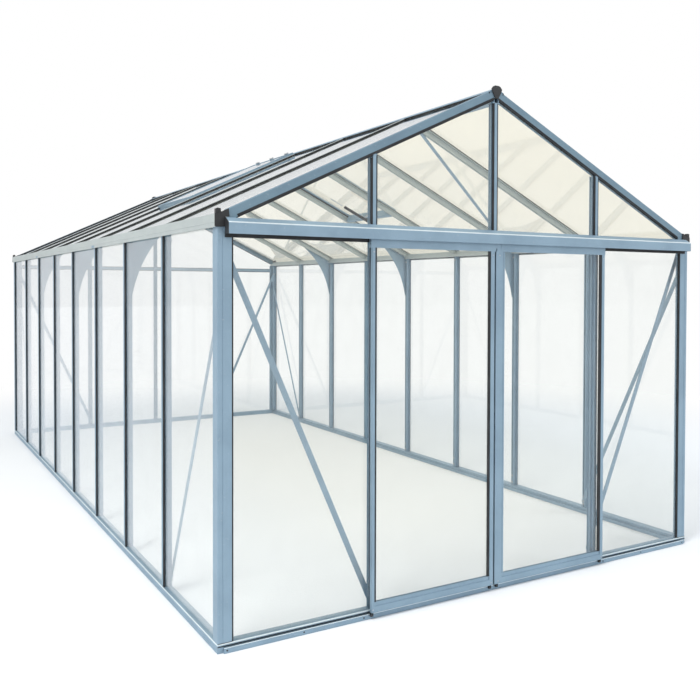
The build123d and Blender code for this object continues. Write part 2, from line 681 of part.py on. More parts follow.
with BuildPart() as gable_gaskets:
    with BuildSketch(*[section_plane((x, FRONT_Y, FRONT_HIGH_BASE), FRONT_IN, UP) for x in MULLION_XS]):
        add(bar_strips_section())
    extrude(amount=RIDGE_BASE_Z - FRONT_HIGH_BASE)
    with BuildSketch(*[section_plane((x, BACK_Y, BACK_HIGH_BASE), BACK_IN, UP) for x in MULLION_XS]):
        add(bar_strips_section())
    extrude(amount=RIDGE_BASE_Z - BACK_HIGH_BASE)
    split(bisect_by=SLOPE.offset(-FRAME_D - STRIP_W), keep=Keep.BOTTOM)
    split(bisect_by=LEFT_SLOPE.offset(-FRAME_D - STRIP_W), keep=Keep.BOTTOM)
    with BuildSketch(section_plane((0, FRONT_Y, SILL_H), FRONT_IN, UP)):
        for side in (-1, 1):
            add(strip_section(side * (HALF_W - POST_FRONT), -side))
            add(strip_section(side * (GABLE_BAY + NOSE_W / 2), side))
    extrude(amount=FRONT_LOW_TOP - SILL_H)
    with BuildSketch(*[section_plane((x, BACK_Y, SILL_H), BACK_IN, UP) for x in MULLION_XS]):
        add(bar_strips_section())
    with BuildSketch(section_plane((0, BACK_Y, SILL_H), BACK_IN, UP)):
        for side in (-1, 1):
            add(strip_section(side * (HALF_W - POST_FRONT), -side))
    extrude(amount=BACK_LOW_TOP - SILL_H)

# Braces: flat strips on the inner faces, from the corner posts down to the first bar
brace_corner = HALF_W - BRACE_CORNER
brace_foot_s = BAR_FOOT_X / SLOPE_COS - BRACE_W
brace_ys = (FRONT_Y + BRACE_CORNER, BAR_YS[0], BAR_YS[-1], BACK_Y - BRACE_CORNER)
with BuildPart() as braces:
    with BuildSketch(Plane(origin=(0, FRONT_Y + FRAME_D, 0), x_dir=(1, 0, 0), z_dir=(0, -1, 0))):
        strip_between(brace_corner, EAVE_Z - BRACE_DROP, GABLE_BAY, BRACE_FOOT_Z, BRACE_W)
        mirror(about=Plane.YZ)
    extrude(amount=-BRACE_T)
    with BuildSketch(Plane(origin=(0, BACK_Y - FRAME_D, 0), x_dir=(1, 0, 0), z_dir=(0, -1, 0))):
        strip_between(brace_corner, BACK_LOW_TOP - BRACE_W, GABLE_BAY, BRACE_FOOT_Z, BRACE_W)
        mirror(about=Plane.YZ)
    extrude(amount=BRACE_T)
    with BuildSketch(Plane(origin=(HALF_W - FRAME_D, 0, 0), x_dir=(0, 1, 0), z_dir=(1, 0, 0))):
        strip_between(brace_ys[0], EAVE_Z - SIDE_BRACE_DROP, brace_ys[1], BRACE_FOOT_Z, BRACE_W)
        strip_between(brace_ys[3], EAVE_Z - SIDE_BRACE_DROP, brace_ys[2], BRACE_FOOT_Z, BRACE_W)
    extrude(amount=-BRACE_T)
    with BuildSketch(SLOPE.offset(-FRAME_D)):
        strip_between(2 * RIDGE_WING, BAR_YS[0], brace_foot_s, BAR_YS[1] - BRACE_SHIFT, BRACE_W)
    extrude(amount=-BRACE_T)
    mirror(about=Plane.YZ)

# Knee plates: bolted flat against a stud and its roof bar, with a hollow curved inner edge
knee_foot_z = GUTTER_BASE - KNEE_LEG
knee_top_x = HALF_W - KNEE_LEG
knee_rise = (FRAME_D + BRACE_T) / SLOPE_COS
knee_planes = [Plane(origin=(0, y + LIP_W / 2, 0), x_dir=(1, 0, 0), z_dir=(0, -1, 0)) for y in BAR_YS[1::2]]
with BuildPart() as knee_plates:
    with BuildSketch(*knee_planes):
        with BuildLine():
            foot = (HALF_W - FRAME_D - BRACE_T, knee_foot_z)
            tip = (knee_top_x, slope_z(knee_top_x) - knee_rise)
            Polyline(
                foot,
                (HALF_W - KNEE_EDGE, knee_foot_z),
                (HALF_W - KNEE_EDGE, GUTTER_BASE),
                (LEDGE_X, GUTTER_BASE),
                (LEDGE_X, slope_z(LEDGE_X) - KNEE_EDGE / SLOPE_COS),
                (knee_top_x, slope_z(knee_top_x) - KNEE_EDGE / SLOPE_COS),
                tip,
            )
            ThreePointArc(tip, (HALF_W - FRAME_D - KNEE_ARC_IN, knee_foot_z + KNEE_ARC_UP), foot)
        make_face()
    extrude(amount=-KNEE_T)
    mirror(about=Plane.YZ)

# Plastic caps: one over each gutter end, and a diamond over each end of the ridge
CORNER_CAP_Z0 = GUTTER_SKIRT - CORNER_CAP_DROP
RIDGE_CAP_Z1 = RIDGE_Z + RIDGE_CAP_RISE
with BuildPart() as end_caps:
    with BuildSketch(Plane(origin=(0, FRONT_Y, 0), x_dir=(1, 0, 0), z_dir=(0, -1, 0))):
        with BuildLine():
            Polyline(
                (GUTTER_X, CORNER_CAP_Z0),
                (GUTTER_X, EAVE_Z),
                (HALF_W - CORNER_CAP_IN, slope_z(HALF_W - CORNER_CAP_IN) + CORNER_CAP_RISE),
                (HALF_W - CORNER_CAP_IN, HEADER_Z1 + SEAT_GAP),
                (HALF_W - HEADER_END + SEAT_GAP, HEADER_Z1 + SEAT_GAP),
                (HALF_W - HEADER_END + SEAT_GAP, CORNER_CAP_Z0),
                close=True,
            )
        make_face()
    extrude(amount=CAP_T)
    mirror(about=Plane.YZ)
    with BuildSketch(Plane(origin=(0, FRONT_Y, 0), x_dir=(1, 0, 0), z_dir=(0, -1, 0))):
        with BuildLine():
            Polyline(
                (0, RIDGE_CAP_Z1),
                (RIDGE_CAP_W / 2, RIDGE_CAP_Z1 - RIDGE_CAP_H / 3),
                (RIDGE_CAP_W / 2, RIDGE_CAP_Z1 - RIDGE_CAP_H / 2),
                (0, RIDGE_CAP_Z1 - RIDGE_CAP_H),
            )
            mirror(about=Plane.YZ)
        make_face()
    extrude(amount=CAP_T)
    mirror(about=MIDDLE)

# Roof vents: a glazed frame on the noses of two bars, hinged at the ridge, shut on its sill
vent_y = (BAR_YS[VENT_BAY - 1] + BAR_YS[VENT_BAY]) / 2
vent_s = (VENT_TOP_S + VENT_FOOT_S) / 2
vent_l = VENT_FOOT_S - VENT_TOP_S
with BuildPart() as vent_frames:
    with BuildSketch(SLOPE):
        with Locations((vent_s, vent_y)):
            Rectangle(vent_l, BAY)
            Rectangle(vent_l - 2 * VENT_RAIL, BAY - 2 * VENT_RAIL, mode=Mode.SUBTRACT)
    extrude(amount=VENT_H)
    with BuildSketch(SLOPE.offset(VENT_H / 2)):
        with Locations((vent_s, vent_y)):
            Rectangle(vent_l - 2 * VENT_RAIL + 2 * VENT_REBATE, BAY - 2 * VENT_RAIL + 2 * VENT_REBATE)
    extrude(amount=VENT_H, mode=Mode.SUBTRACT)
    mirror(about=Plane.YZ)

with BuildPart() as vent_glass:
    with BuildSketch(SLOPE.offset(VENT_H / 2)):
        with Locations((vent_s, vent_y)):
            Rectangle(vent_l - 2 * VENT_RAIL + 2 * VENT_REBATE - EDGE_GAP,
                      BAY - 2 * VENT_RAIL + 2 * VENT_REBATE - EDGE_GAP)
    extrude(amount=GLASS_T)
    mirror(about=Plane.YZ)

with BuildPart() as vent_sills:
    with BuildSketch(SLOPE):
        with Locations((VENT_FOOT_S - VENT_SILL_W / 2, vent_y)):
            Rectangle(VENT_SILL_W, BAY - FLANGE_W)
    extrude(amount=-FRAME_D)
    mirror(about=Plane.YZ)

# Vent openers: a cylinder hung under the sill, with an arm up to the vent frame
with BuildPart() as vent_openers:
    opener_n = -FRAME_D - OPENER_DROP
    opener_s = VENT_FOOT_S - VENT_SILL_W - OPENER_L / 2
    with BuildSketch(SLOPE.offset(-FRAME_D)):
        with Locations((VENT_FOOT_S - VENT_SILL_W / 2, vent_y)):
            Rectangle(VENT_SILL_W, 2 * OPENER_R)
    extrude(amount=-OPENER_DROP)
    with BuildSketch(Plane(origin=SLOPE.from_local_coords((VENT_FOOT_S, vent_y, opener_n)),
                           x_dir=(0, 1, 0), z_dir=-SLOPE_DOWN)):
        Circle(OPENER_R)
    extrude(amount=OPENER_L)
    mirror(about=Plane.YZ)

# Door leaves. The left leaf runs from -LEAF_OUT to -MEET_LEFT, the right one to LEAF_OUT.
LEAF_FRONT_Y = FRONT_Y - DOOR_BACK - DOOR_T
LEAF_MID_Y = FRONT_Y - DOOR_BACK - DOOR_T / 2
RAIL_Z1 = HEADER_Z0 - HEADER_GAP
RAIL_Z0 = RAIL_Z1 - TOP_RAIL_H
FOOT_RAIL_Z1 = LEAF_Z0 + BOTTOM_RAIL_H
HANGER_Q = RAIL_IN - HEADER_GAP - HANGER_T / 2
GLASS_Y0 = LEAF_MID_Y - GLASS_T / 2
WHEEL_Z = HEADER_Z0 + WALL + HEADER_BEAD_H + WHEEL_R + SEAT_GAP
WHEEL_Q = RAIL_IN + HEADER_BEAD_W / 2

LEFT_LEAF = (-LEAF_OUT, -MEET_LEFT, -LEAF_OUT - RAIL_OVERHANG, -MEET_LEFT)
RIGHT_LEAF = (LEAF_OUT, -MEET_RIGHT, LEAF_OUT + RAIL_OVERHANG, RIGHT_RAIL_BACK - MEET_RIGHT)


def leaf_stiles(outer, meeting):
    """Both stiles of a leaf, from its foot up to the top rail, grooved for the glass."""
    with BuildSketch() as section:
        side = 1 if outer > meeting else -1
        for edge, width, inward in ((outer, OUTER_STILE_W, -side), (meeting, MEETING_STILE_W, side)):
            with Locations((edge + inward * width / 2, LEAF_MID_Y)):
                Rectangle(width, DOOR_T)
            with Locations((edge + inward * (width - GROOVE_D / 2), LEAF_MID_Y)):
                Rectangle(GROOVE_D, GROOVE_W, mode=Mode.SUBTRACT)
    return section.sketch


def top_rail_section():
    """Grooved top rail with the flange that carries the wheels: local x is away from the gable."""
    with BuildSketch() as section:
        with BuildLine():
            Polyline(
                (DOOR_BACK, RAIL_Z0),
                (DOOR_BACK, RAIL_Z1),
                (HANGER_Q - HANGER_T / 2, RAIL_Z1),
                (HANGER_Q - HANGER_T / 2, RAIL_Z1 + HANGER_H),
                (HANGER_Q + HANGER_T / 2, RAIL_Z1 + HANGER_H),
                (HANGER_Q + HANGER_T / 2, RAIL_Z1),
                (DOOR_BACK + DOOR_T, RAIL_Z1),
                (DOOR_BACK + DOOR_T, RAIL_Z0),
                (DOOR_BACK + (DOOR_T + GROOVE_W) / 2, RAIL_Z0),
                (DOOR_BACK + (DOOR_T + GROOVE_W) / 2, RAIL_Z0 + GROOVE_D),
                (DOOR_BACK + (DOOR_T - GROOVE_W) / 2, RAIL_Z0 + GROOVE_D),
                (DOOR_BACK + (DOOR_T - GROOVE_W) / 2, RAIL_Z0),
                close=True,
            )
        make_face()
    return section.sketch


def bottom_rail_section():
    """Grooved bottom rail: local x is away from the gable."""
    with BuildSketch() as section:
        with Locations((DOOR_BACK + DOOR_T / 2, LEAF_Z0 + BOTTOM_RAIL_H / 2)):
            Rectangle(DOOR_T, BOTTOM_RAIL_H)
        with Locations((DOOR_BACK + DOOR_T / 2, FOOT_RAIL_Z1 - GROOVE_D / 2)):
            Rectangle(GROOVE_W, GROOVE_D, mode=Mode.SUBTRACT)
    return section.sketch


def leaf_section_plane(x):
    """Plane across a leaf at `x`: local x points away from the gable, y up, z to the left."""
    return Plane(origin=(x, FRONT_Y, 0), x_dir=(0, -1, 0), z_dir=(-1, 0, 0))


def leaf_inside(outer, meeting):
    """The two inner edges of the stiles, left one first."""
    side = 1 if outer > meeting else -1
    return sorted((outer - side * OUTER_STILE_W, meeting + side * MEETING_STILE_W))


def make_leaf(name, leaf):
    """Build and write the pieces of one door leaf."""
    outer, meeting, rail_outer, rail_inner = leaf
    side = 1 if outer > meeting else -1
    x0, x1 = leaf_inside(outer, meeting)
    rail_x0, rail_x1 = sorted((rail_outer, rail_inner))
    wheel_xs = (rail_x0 + WHEEL_INSET, rail_x1 - WHEEL_INSET)

    with BuildPart() as stiles:
        with BuildSketch(Plane.XY.offset(LEAF_Z0)):
            add(leaf_stiles(outer, meeting))
        extrude(amount=RAIL_Z0 - LEAF_Z0)

    with BuildPart() as top_rail:
        with BuildSketch(leaf_section_plane(rail_x1)):
            add(top_rail_section())
        extrude(amount=rail_x1 - rail_x0)

    with BuildPart() as bottom_rail:
        with BuildSketch(leaf_section_plane(x1)):
            add(bottom_rail_section())
        extrude(amount=x1 - x0)

    with BuildPart() as glass:
        with BuildSketch(Plane(origin=(0, GLASS_Y0, 0), x_dir=(1, 0, 0), z_dir=(0, -1, 0))):
            rectangle_between(x0 - GLASS_BITE, x1 + GLASS_BITE, FOOT_RAIL_Z1 - GLASS_BITE, RAIL_Z0 + GLASS_BITE)
        extrude(amount=-GLASS_T)

    with BuildPart() as gaskets:
        with BuildSketch(Plane(origin=(0, GLASS_Y0, 0), x_dir=(1, 0, 0), z_dir=(0, -1, 0))):
            rectangle_between(x0, x1, FOOT_RAIL_Z1, RAIL_Z0)
            with Locations(((x0 + x1) / 2, (FOOT_RAIL_Z1 + RAIL_Z0) / 2)):
                Rectangle(x1 - x0 - 2 * LEAF_STRIP_W, RAIL_Z0 - FOOT_RAIL_Z1 - 2 * LEAF_STRIP_W,
                          mode=Mode.SUBTRACT)
        extrude(amount=LEAF_STRIP_T)

    with BuildPart() as runners:
        hanger_face = Plane(origin=(0, FRONT_Y - HANGER_Q - HANGER_T / 2, 0), x_dir=(1, 0, 0), z_dir=(0, -1, 0))
        with BuildSketch(hanger_face):
            with Locations(*[(x, WHEEL_Z) for x in wheel_xs]):
                Circle(WHEEL_HUB_R)
        extrude(amount=WHEEL_Q - HANGER_Q - HANGER_T / 2)
        with BuildSketch(Plane(origin=(0, FRONT_Y - WHEEL_Q + WHEEL_T / 2, 0), x_dir=(1, 0, 0), z_dir=(0, -1, 0))):
            with Locations(*[(x, WHEEL_Z) for x in wheel_xs]):
                Circle(WHEEL_R)
        extrude(amount=WHEEL_T)

        block_z0 = LEAF_Z0 - GUIDE_BLOCK_H
        block_xs = (outer - side * (OUTER_STILE_W + GUIDE_BLOCK_L) / 2 + GUIDE_BLOCK_L / 2,
                    meeting + side * (MEETING_STILE_W + GUIDE_BLOCK_L) / 2 + GUIDE_BLOCK_L / 2)
        with BuildSketch(*[leaf_section_plane(x) for x in block_xs]):
            with Locations((GUIDE_FIN_Q, block_z0 + GUIDE_BLOCK_H / 2)):
                Rectangle(GUIDE_BLOCK_W, GUIDE_BLOCK_H)
            slot_h = GUIDE_FIN_H + GUIDE_BLOCK_GAP - block_z0
            with Locations((GUIDE_FIN_Q, block_z0 + slot_h / 2)):
                Rectangle(GUIDE_FIN_T + 2 * GUIDE_BLOCK_GAP, slot_h, mode=Mode.SUBTRACT)
        extrude(amount=GUIDE_BLOCK_L)

    pieces = {"stiles": stiles, "top_rail": top_rail, "bottom_rail": bottom_rail, "glass": glass,
              "gaskets": gaskets, "runners": runners}
    for piece, builder in pieces.items():
        builder.part.label = f"{name}_{piece}"
        export_step(builder.part, f"parts/{name}_{piece}.step")


make_leaf("left_door", LEFT_LEAF)
make_leaf("right_door", RIGHT_LEAF)

NODES = {
    "side_sills": side_sills,
    "gable_sills": gable_sills,
    "corner_posts": corner_posts,
    "left_studs": left_studs,
    "right_studs": right_studs,
    "gutters": gutters,
    "ridge_beam": ridge_beam,
    "left_roof_bars": left_roof_bars,
    "right_roof_bars": right_roof_bars,
    "front_rafters": front_rafters,
    "back_rafters": back_rafters,
    "front_transom": front_transom,
    "back_transom": back_transom,
    "front_mullions": front_mullions,
    "back_mullions": back_mullions,
    "door_header_track": door_header_track,
    "door_guide_track": door_guide_track,
    "left_wall_glass": left_wall_glass,
    "right_wall_glass": right_wall_glass,
    "left_roof_glass": left_roof_glass,
    "right_roof_glass": right_roof_glass,
    "front_gable_glass": front_gable_glass,
    "back_gable_glass": back_gable_glass,
    "wall_gaskets": wall_gaskets,
    "roof_gaskets": roof_gaskets,
    "gable_gaskets": gable_gaskets,
    "braces": braces,
    "knee_plates": knee_plates,
    "end_caps": end_caps,
    "vent_frames": vent_frames,
    "vent_glass": vent_glass,
    "vent_sills": vent_sills,
    "vent_openers": vent_openers,
}
for node, builder in NODES.items():
    builder.part.label = node
    export_step(builder.part, f"parts/{node}.step")
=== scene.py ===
# %% [markdown]
# # A glass greenhouse, dressed for the camera
#
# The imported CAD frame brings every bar, pane and gutter as its own mesh, at its true size.
# This lesson gives those meshes their finishes, adds the small parts that a fitter brings in a
# pocket, such as bolts and plugs, gives the door leaves and the caps their finer forms, and sets
# up a plain studio. Everything is in metres: +X is right seen from the door gable, +Y runs along
# the ridge and +Z is up.

# %% Load the frame
from math import cos, pi, radians, sin, tan

import bmesh
import bpy
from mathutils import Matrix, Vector


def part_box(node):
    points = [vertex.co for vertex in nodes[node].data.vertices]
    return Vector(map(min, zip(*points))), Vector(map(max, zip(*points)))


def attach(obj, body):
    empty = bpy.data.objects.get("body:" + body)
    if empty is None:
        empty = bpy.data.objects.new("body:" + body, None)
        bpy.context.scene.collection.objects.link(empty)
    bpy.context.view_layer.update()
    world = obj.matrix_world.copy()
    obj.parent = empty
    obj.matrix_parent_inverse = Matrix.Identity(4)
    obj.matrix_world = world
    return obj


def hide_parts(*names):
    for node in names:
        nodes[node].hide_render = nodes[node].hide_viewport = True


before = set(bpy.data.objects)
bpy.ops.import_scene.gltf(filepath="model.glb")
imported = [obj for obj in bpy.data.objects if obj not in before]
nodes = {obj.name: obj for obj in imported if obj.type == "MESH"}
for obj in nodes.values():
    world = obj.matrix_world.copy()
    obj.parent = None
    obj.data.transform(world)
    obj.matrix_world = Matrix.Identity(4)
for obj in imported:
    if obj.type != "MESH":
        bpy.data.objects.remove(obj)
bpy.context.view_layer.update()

# %% [markdown]
# ## Measuring the house
#
# The places of the small parts follow from a few sizes of the house. They could be typed in as
# numbers, but the corners of the CAD nodes give most of them, so that a bolt stays on its bar
# when the bar moves.

# %% Measure the house
POST_LOW, POST_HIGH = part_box("corner_posts")
STUD_LOW, STUD_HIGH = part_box("right_studs")
GUTTER_LOW, GUTTER_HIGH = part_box("gutters")
HEADER_LOW, HEADER_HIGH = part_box("door_header_track")
FLANGE = 0.044                # width of a glazing bar, seen from inside
STUDS = 7                     # glazing bars in a side wall
BAY = (STUD_HIGH.y - STUD_LOW.y - FLANGE) / (STUDS - 1)
STUD_YS = [STUD_LOW.y + FLANGE / 2 + k * BAY for k in range(STUDS)]
WALL_X = STUD_HIGH.x
FRAME_D = WALL_X - STUD_LOW.x
INNER_X = WALL_X - FRAME_D
SILL_TOP = STUD_LOW.z
FRONT_Y, BACK_Y = POST_LOW.y, POST_HIGH.y
EAVE_Z = GUTTER_HIGH.z
GUTTER_FLOOR = STUD_HIGH.z
GABLE_BAY = 0.735             # from one bar of a gable to the next
PITCH = radians(25.5)         # slope of the roof
RIDGE_Z = EAVE_Z + WALL_X * tan(PITCH)
print("bay", round(BAY, 4), "wall", round(WALL_X, 4), "frame depth", round(FRAME_D, 4))

# %% Directions, the two gables, and points on the roof
SIDES = (-1, 1)               # left and right
UP, DOWN = (0, 0, 1), (0, 0, -1)
TO_FRONT, TO_RIGHT = (0, -1, 0), (1, 0, 0)
# Of each gable: its face, the way out of it along Y, and the foot and the top of its transom.
GABLES = ((FRONT_Y, -1, [corner.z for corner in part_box("front_transom")]),
          (BACK_Y, 1, [corner.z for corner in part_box("back_transom")]))
print("gables at", [round(gable[0], 3) for gable in GABLES])


def roof_point(side, down, y, out=0.0):
    """A point at a distance down the left (-1) or right (1) slope, and out of its surface."""
    across = cos(PITCH) * down + sin(PITCH) * out
    return Vector((side * across, y, RIDGE_Z - sin(PITCH) * down + cos(PITCH) * out))


def roof_down(side):
    """The direction down a slope."""
    return Vector((side * cos(PITCH), 0, -sin(PITCH)))


def roof_out(side):
    """The direction straight out of a slope."""
    return Vector((side * sin(PITCH), 0, cos(PITCH)))


def under_rafter(x):
    """The height of a rafter's lower edge."""
    return RIDGE_Z - abs(x) * tan(PITCH) - FRAME_D / cos(PITCH)


# %% [markdown]
# ## Shader maths as Python expressions
#
# A finish is easier to read as a sum than as a net of nodes. The class below wraps the output
# socket of a node: adding or multiplying two of them makes the Math node for it. The other
# class is the node tree under construction, of a material or of the world, and one method of it
# makes any node.

# %% A socket that does sums
class Value:
    """The output of a shader node. Its operators add Math nodes to the same tree."""

    def __init__(self, finish, socket):
        self.finish = finish
        self.socket = socket

    def maths(self, operation, *values):
        return self.finish.node("ShaderNodeMath", {"operation": operation}, dict(enumerate(values)))

    def __add__(self, other):
        return self.maths("ADD", self, other)

    def __radd__(self, other):
        return self.maths("ADD", other, self)

    def __sub__(self, other):
        return self.maths("SUBTRACT", self, other)

    def __rsub__(self, other):
        return self.maths("SUBTRACT", other, self)

    def __mul__(self, other):
        return self.maths("MULTIPLY", self, other)

    def __rmul__(self, other):
        return self.maths("MULTIPLY", other, self)

    def __pow__(self, other):
        return self.maths("POWER", self, other)

    def either(self, other):
        """The greater of the two."""
        return self.maths("MAXIMUM", self, other)

    def over(self, low, high, bottom=0.0, top=1.0):
        """`bottom` where the value is below `low`, `top` above `high`, and smooth between them."""
        return self.finish.node("ShaderNodeMapRange", {"interpolation_type": "SMOOTHSTEP"}, {
            "Value": self, "From Min": low, "From Max": high, "To Min": bottom, "To Max": top})


# %% A node tree under construction
class Finish:
    """The shader nodes of a material or of the world, made one by one."""

    def __init__(self, owner):
        self.owner = owner
        owner.use_nodes = True
        self.tree = owner.node_tree
        self.tree.nodes.clear()

    def node(self, kind, settings=(), inputs=(), output=0):
        """Adds a node: its settings first, then the values or links of its sockets."""
        made = self.tree.nodes.new(kind)
        for key, value in dict(settings).items():
            setattr(made, key, value)
        for key, value in dict(inputs).items():
            if isinstance(value, Value):
                self.tree.links.new(value.socket, made.inputs[key])
            else:
                made.inputs[key].default_value = value
        return None if output is None else Value(self, made.outputs[output])

    def vector(self, operation, *values, output=0):
        return self.node("ShaderNodeVectorMath", {"operation": operation}, dict(enumerate(values)), output)

    def blend(self, share, first, second):
        """Mixes two colours, by a share from 0 to 1."""
        return self.node("ShaderNodeMix", {"data_type": "RGBA"}, {0: share, 6: first, 7: second}, 2)

    def noise(self, place, scale, detail=3.0, roughness=0.55):
        return self.node("ShaderNodeTexNoise", (), {
            "Vector": place, "Scale": scale, "Detail": detail, "Roughness": roughness})

    def place(self):
        """Where a point of the surface is, in metres in the frame, however the doors stand."""
        return self.node("ShaderNodeTexCoord", output="Object")

    def bump(self, height, strength, distance):
        return self.node("ShaderNodeBump", (), {"Strength": strength, "Distance": distance, "Height": height})

    def ray(self, kind):
        """1 for a ray of this kind, such as Camera or Glossy, and 0 for any other."""
        return self.node("ShaderNodeLightPath", (), (), f"Is {kind} Ray")

    def surface(self, shader, output_kind="ShaderNodeOutputMaterial"):
        """Ends the tree with its output node."""
        self.node(output_kind, (), {"Surface": shader}, None)
        print("finish", self.owner.name, "with", len(self.tree.nodes), "nodes")
        return self.owner


# %% [markdown]
# ## Satin aluminium
#
# The bars are extruded aluminium with a fine satin skin. Pressing the metal through its die
# leaves faint lines along the bar, and years of rain leave cloudy spots that are a little
# duller. A brushed texture could be painted on, but a noise that is stretched along the bar
# gives the lines at any distance, and a coarse one gives the clouds.
#
# Bars run in different directions, so each direction gets its own copy of the finish. The tone
# differs too, by how the light falls on what the metal faces, and this light and shade is painted
# into the colour: posts, stiles and rails are grey with a painted reflection of a blue sky, the
# roof bars and the gutters take a paler tone of painted light, the rafters are darker, like slate,
# with painted shade, and the thin beads along the sills and the header carry a painted highlight.

# %% Satin aluminium, by the direction of the bar
STRETCH = 0.985               # share of the way along a bar that the noise leaves out
DIE_LINES = 420.0             # fineness of the lines across a bar


def colour(red, green, blue):
    return (red, green, blue, 1.0)


def aluminium(name, direction, light, dark):
    """Satin metal with die lines along a direction."""
    finish = Finish(bpy.data.materials.new(name))
    place = finish.place()
    direction = Vector(direction)
    along = finish.vector("DOT_PRODUCT", place, direction, output="Value")
    shrunk = finish.node("ShaderNodeVectorMath", {"operation": "SCALE"},
                         {0: direction, "Scale": along * STRETCH})
    across = finish.vector("SUBTRACT", place, shrunk)
    lines = finish.noise(across, DIE_LINES, 2.0)
    clouds = finish.noise(place, 5.0, 4.0, 0.6)
    spots = finish.noise(place, 60.0, 3.0).over(0.62, 0.78)
    tone = clouds.over(0.3, 0.7) * 0.6 + lines * 0.4
    metal = finish.blend(tone, dark, light)
    metal = finish.blend(spots * 0.25, metal, colour(0.60, 0.64, 0.66))
    dull = 0.36 + lines * 0.1 + clouds * 0.12 + spots * 0.1
    return finish.surface(finish.node("ShaderNodeBsdfPrincipled", (), {
        "Base Color": metal, "Roughness": dull, "Metallic": 0.5,
        "Normal": finish.bump(lines + spots * 0.4, 0.12, 0.0006)}))


# %% The four tones of the metal: grey with a painted sky reflection, painted light, painted shade and a painted highlight
# Grey metal with a painted reflection of a blue sky, for the posts, stiles, rails and most bars.
SATIN_WITH_PAINTED_SKY = colour(0.30, 0.42, 0.52), colour(0.23, 0.33, 0.42)
# The same metal with painted light, for the roof bars and the gutters.
PAINTED_LIGHT_PALE = colour(0.52, 0.57, 0.56), colour(0.44, 0.49, 0.49)
# The same metal with painted shade, for the rafters.
PAINTED_SHADE_SLATE = colour(0.20, 0.30, 0.37), colour(0.16, 0.24, 0.31)
# Nearly white metal: a painted highlight, for the beads along the sills, the guide track and the header.
PAINTED_HIGHLIGHT = colour(0.80, 0.88, 0.90), colour(0.68, 0.77, 0.80)
upright_metal = aluminium("satin_upright", (0, 0, 1), *SATIN_WITH_PAINTED_SKY)
lengthwise_metal = aluminium("satin_lengthwise", (0, 1, 0), *SATIN_WITH_PAINTED_SKY)
crosswise_metal = aluminium("satin_crosswise", (1, 0, 0), *SATIN_WITH_PAINTED_SKY)
right_slope_metal = aluminium("satin_right_slope", roof_down(1), *SATIN_WITH_PAINTED_SKY)
# The roof bars and the gutters take the tone with painted light, and the rafters the one with painted shade.
lit_right_bar_metal = aluminium("painted_light_right_slope", roof_down(1), *PAINTED_LIGHT_PALE)
lit_left_bar_metal = aluminium("painted_light_left_slope", roof_down(-1), *PAINTED_LIGHT_PALE)
lit_gutter_metal = aluminium("painted_light_lengthwise", (0, 1, 0), *PAINTED_LIGHT_PALE)
shaded_rafter_metal = aluminium("painted_shade_slope", roof_down(1), *PAINTED_SHADE_SLATE)
highlight_metal = aluminium("bright_beads", (1, 0, 0), *PAINTED_HIGHLIGHT)

# %% [markdown]
# ## Clear glass
#
# A pane hardly shows until something is mirrored in it. Light goes straight through a thin
# pane, so a Transparent shader is truer here than one that bends light, and a Glossy shader is
# mixed in by the slant of the view, so that a pane mirrors more at a glancing angle. A thin film
# of dust and dried rain lies on it, thicker towards the foot of the walls and in patches on the
# roof. The roof panes have a faint warm tint.

# %% Clear glass with a film of dust
HEAD_ON = 0.04                # what one face of a pane mirrors when it is met head on


def glass(name, tint, film, film_colour, low, high):
    """See-through pane with a mirror skin and a dusty film, thickest below the height `low`."""
    finish = Finish(bpy.data.materials.new(name))
    place = finish.place()
    height = finish.node("ShaderNodeSeparateXYZ", (), {0: place}, "Z")
    clouds = finish.noise(place, 2.2, 5.0, 0.6)
    drops = finish.noise(place, 90.0, 2.0).over(0.60, 0.72)
    foot = 1 - height.over(low, high)
    dust = (clouds.over(0.35, 0.75) * 0.55 + foot * 0.35 + drops * 0.3) * film
    clear = finish.node("ShaderNodeBsdfTransparent", (), {"Color": tint})
    haze = finish.node("ShaderNodeBsdfDiffuse", (), {"Color": film_colour})
    pane = finish.node("ShaderNodeMixShader", (), {0: dust, 1: clear, 2: haze})
    mirror = finish.node("ShaderNodeBsdfGlossy", (), {"Color": colour(0.95, 0.97, 1.0), "Roughness": 0.03})
    slant = finish.node("ShaderNodeLayerWeight", (), {"Blend": 0.5}, "Facing")
    glance = HEAD_ON + (1 - HEAD_ON) * slant ** 5
    return finish.surface(finish.node("ShaderNodeMixShader", (), {0: glance, 1: pane, 2: mirror}))


wall_pane = glass("wall_pane", tint=colour(0.985, 0.99, 0.985), film=0.045,
                  film_colour=colour(0.80, 0.80, 0.77), low=0.05, high=0.5)
roof_pane = glass("roof_pane", tint=colour(1.0, 0.978, 0.91), film=0.03,
                  film_colour=colour(0.98, 0.93, 0.76), low=1.8, high=2.2)

# %% [markdown]
# ## Rubber, plastic and zinc
#
# The glazing strips are black rubber, matt and slightly dusty. The caps, the door wheels and
# their guides are moulded plastic with a fine grain, which differs from rubber only in its
# shine and its grain, so one function makes both. Bolts and washers are plated with zinc, whose
# crystals a Voronoi texture shows.

# %% Rubber strip and moulded plastic
def moulded(name, deep, worn, dull, grain, height):
    """Dark moulded material with a fine grain and paler, dusty patches."""
    finish = Finish(bpy.data.materials.new(name))
    place = finish.place()
    speckle = finish.noise(place, grain, 2.0)
    patches = finish.noise(place, 9.0, 4.0).over(0.45, 0.8)
    skin = finish.blend(patches * 0.7 + speckle * 0.2, deep, worn)
    return finish.surface(finish.node("ShaderNodeBsdfPrincipled", (), {
        "Base Color": skin, "Roughness": dull + speckle * 0.15,
        "Normal": finish.bump(speckle, 0.3, height)}))


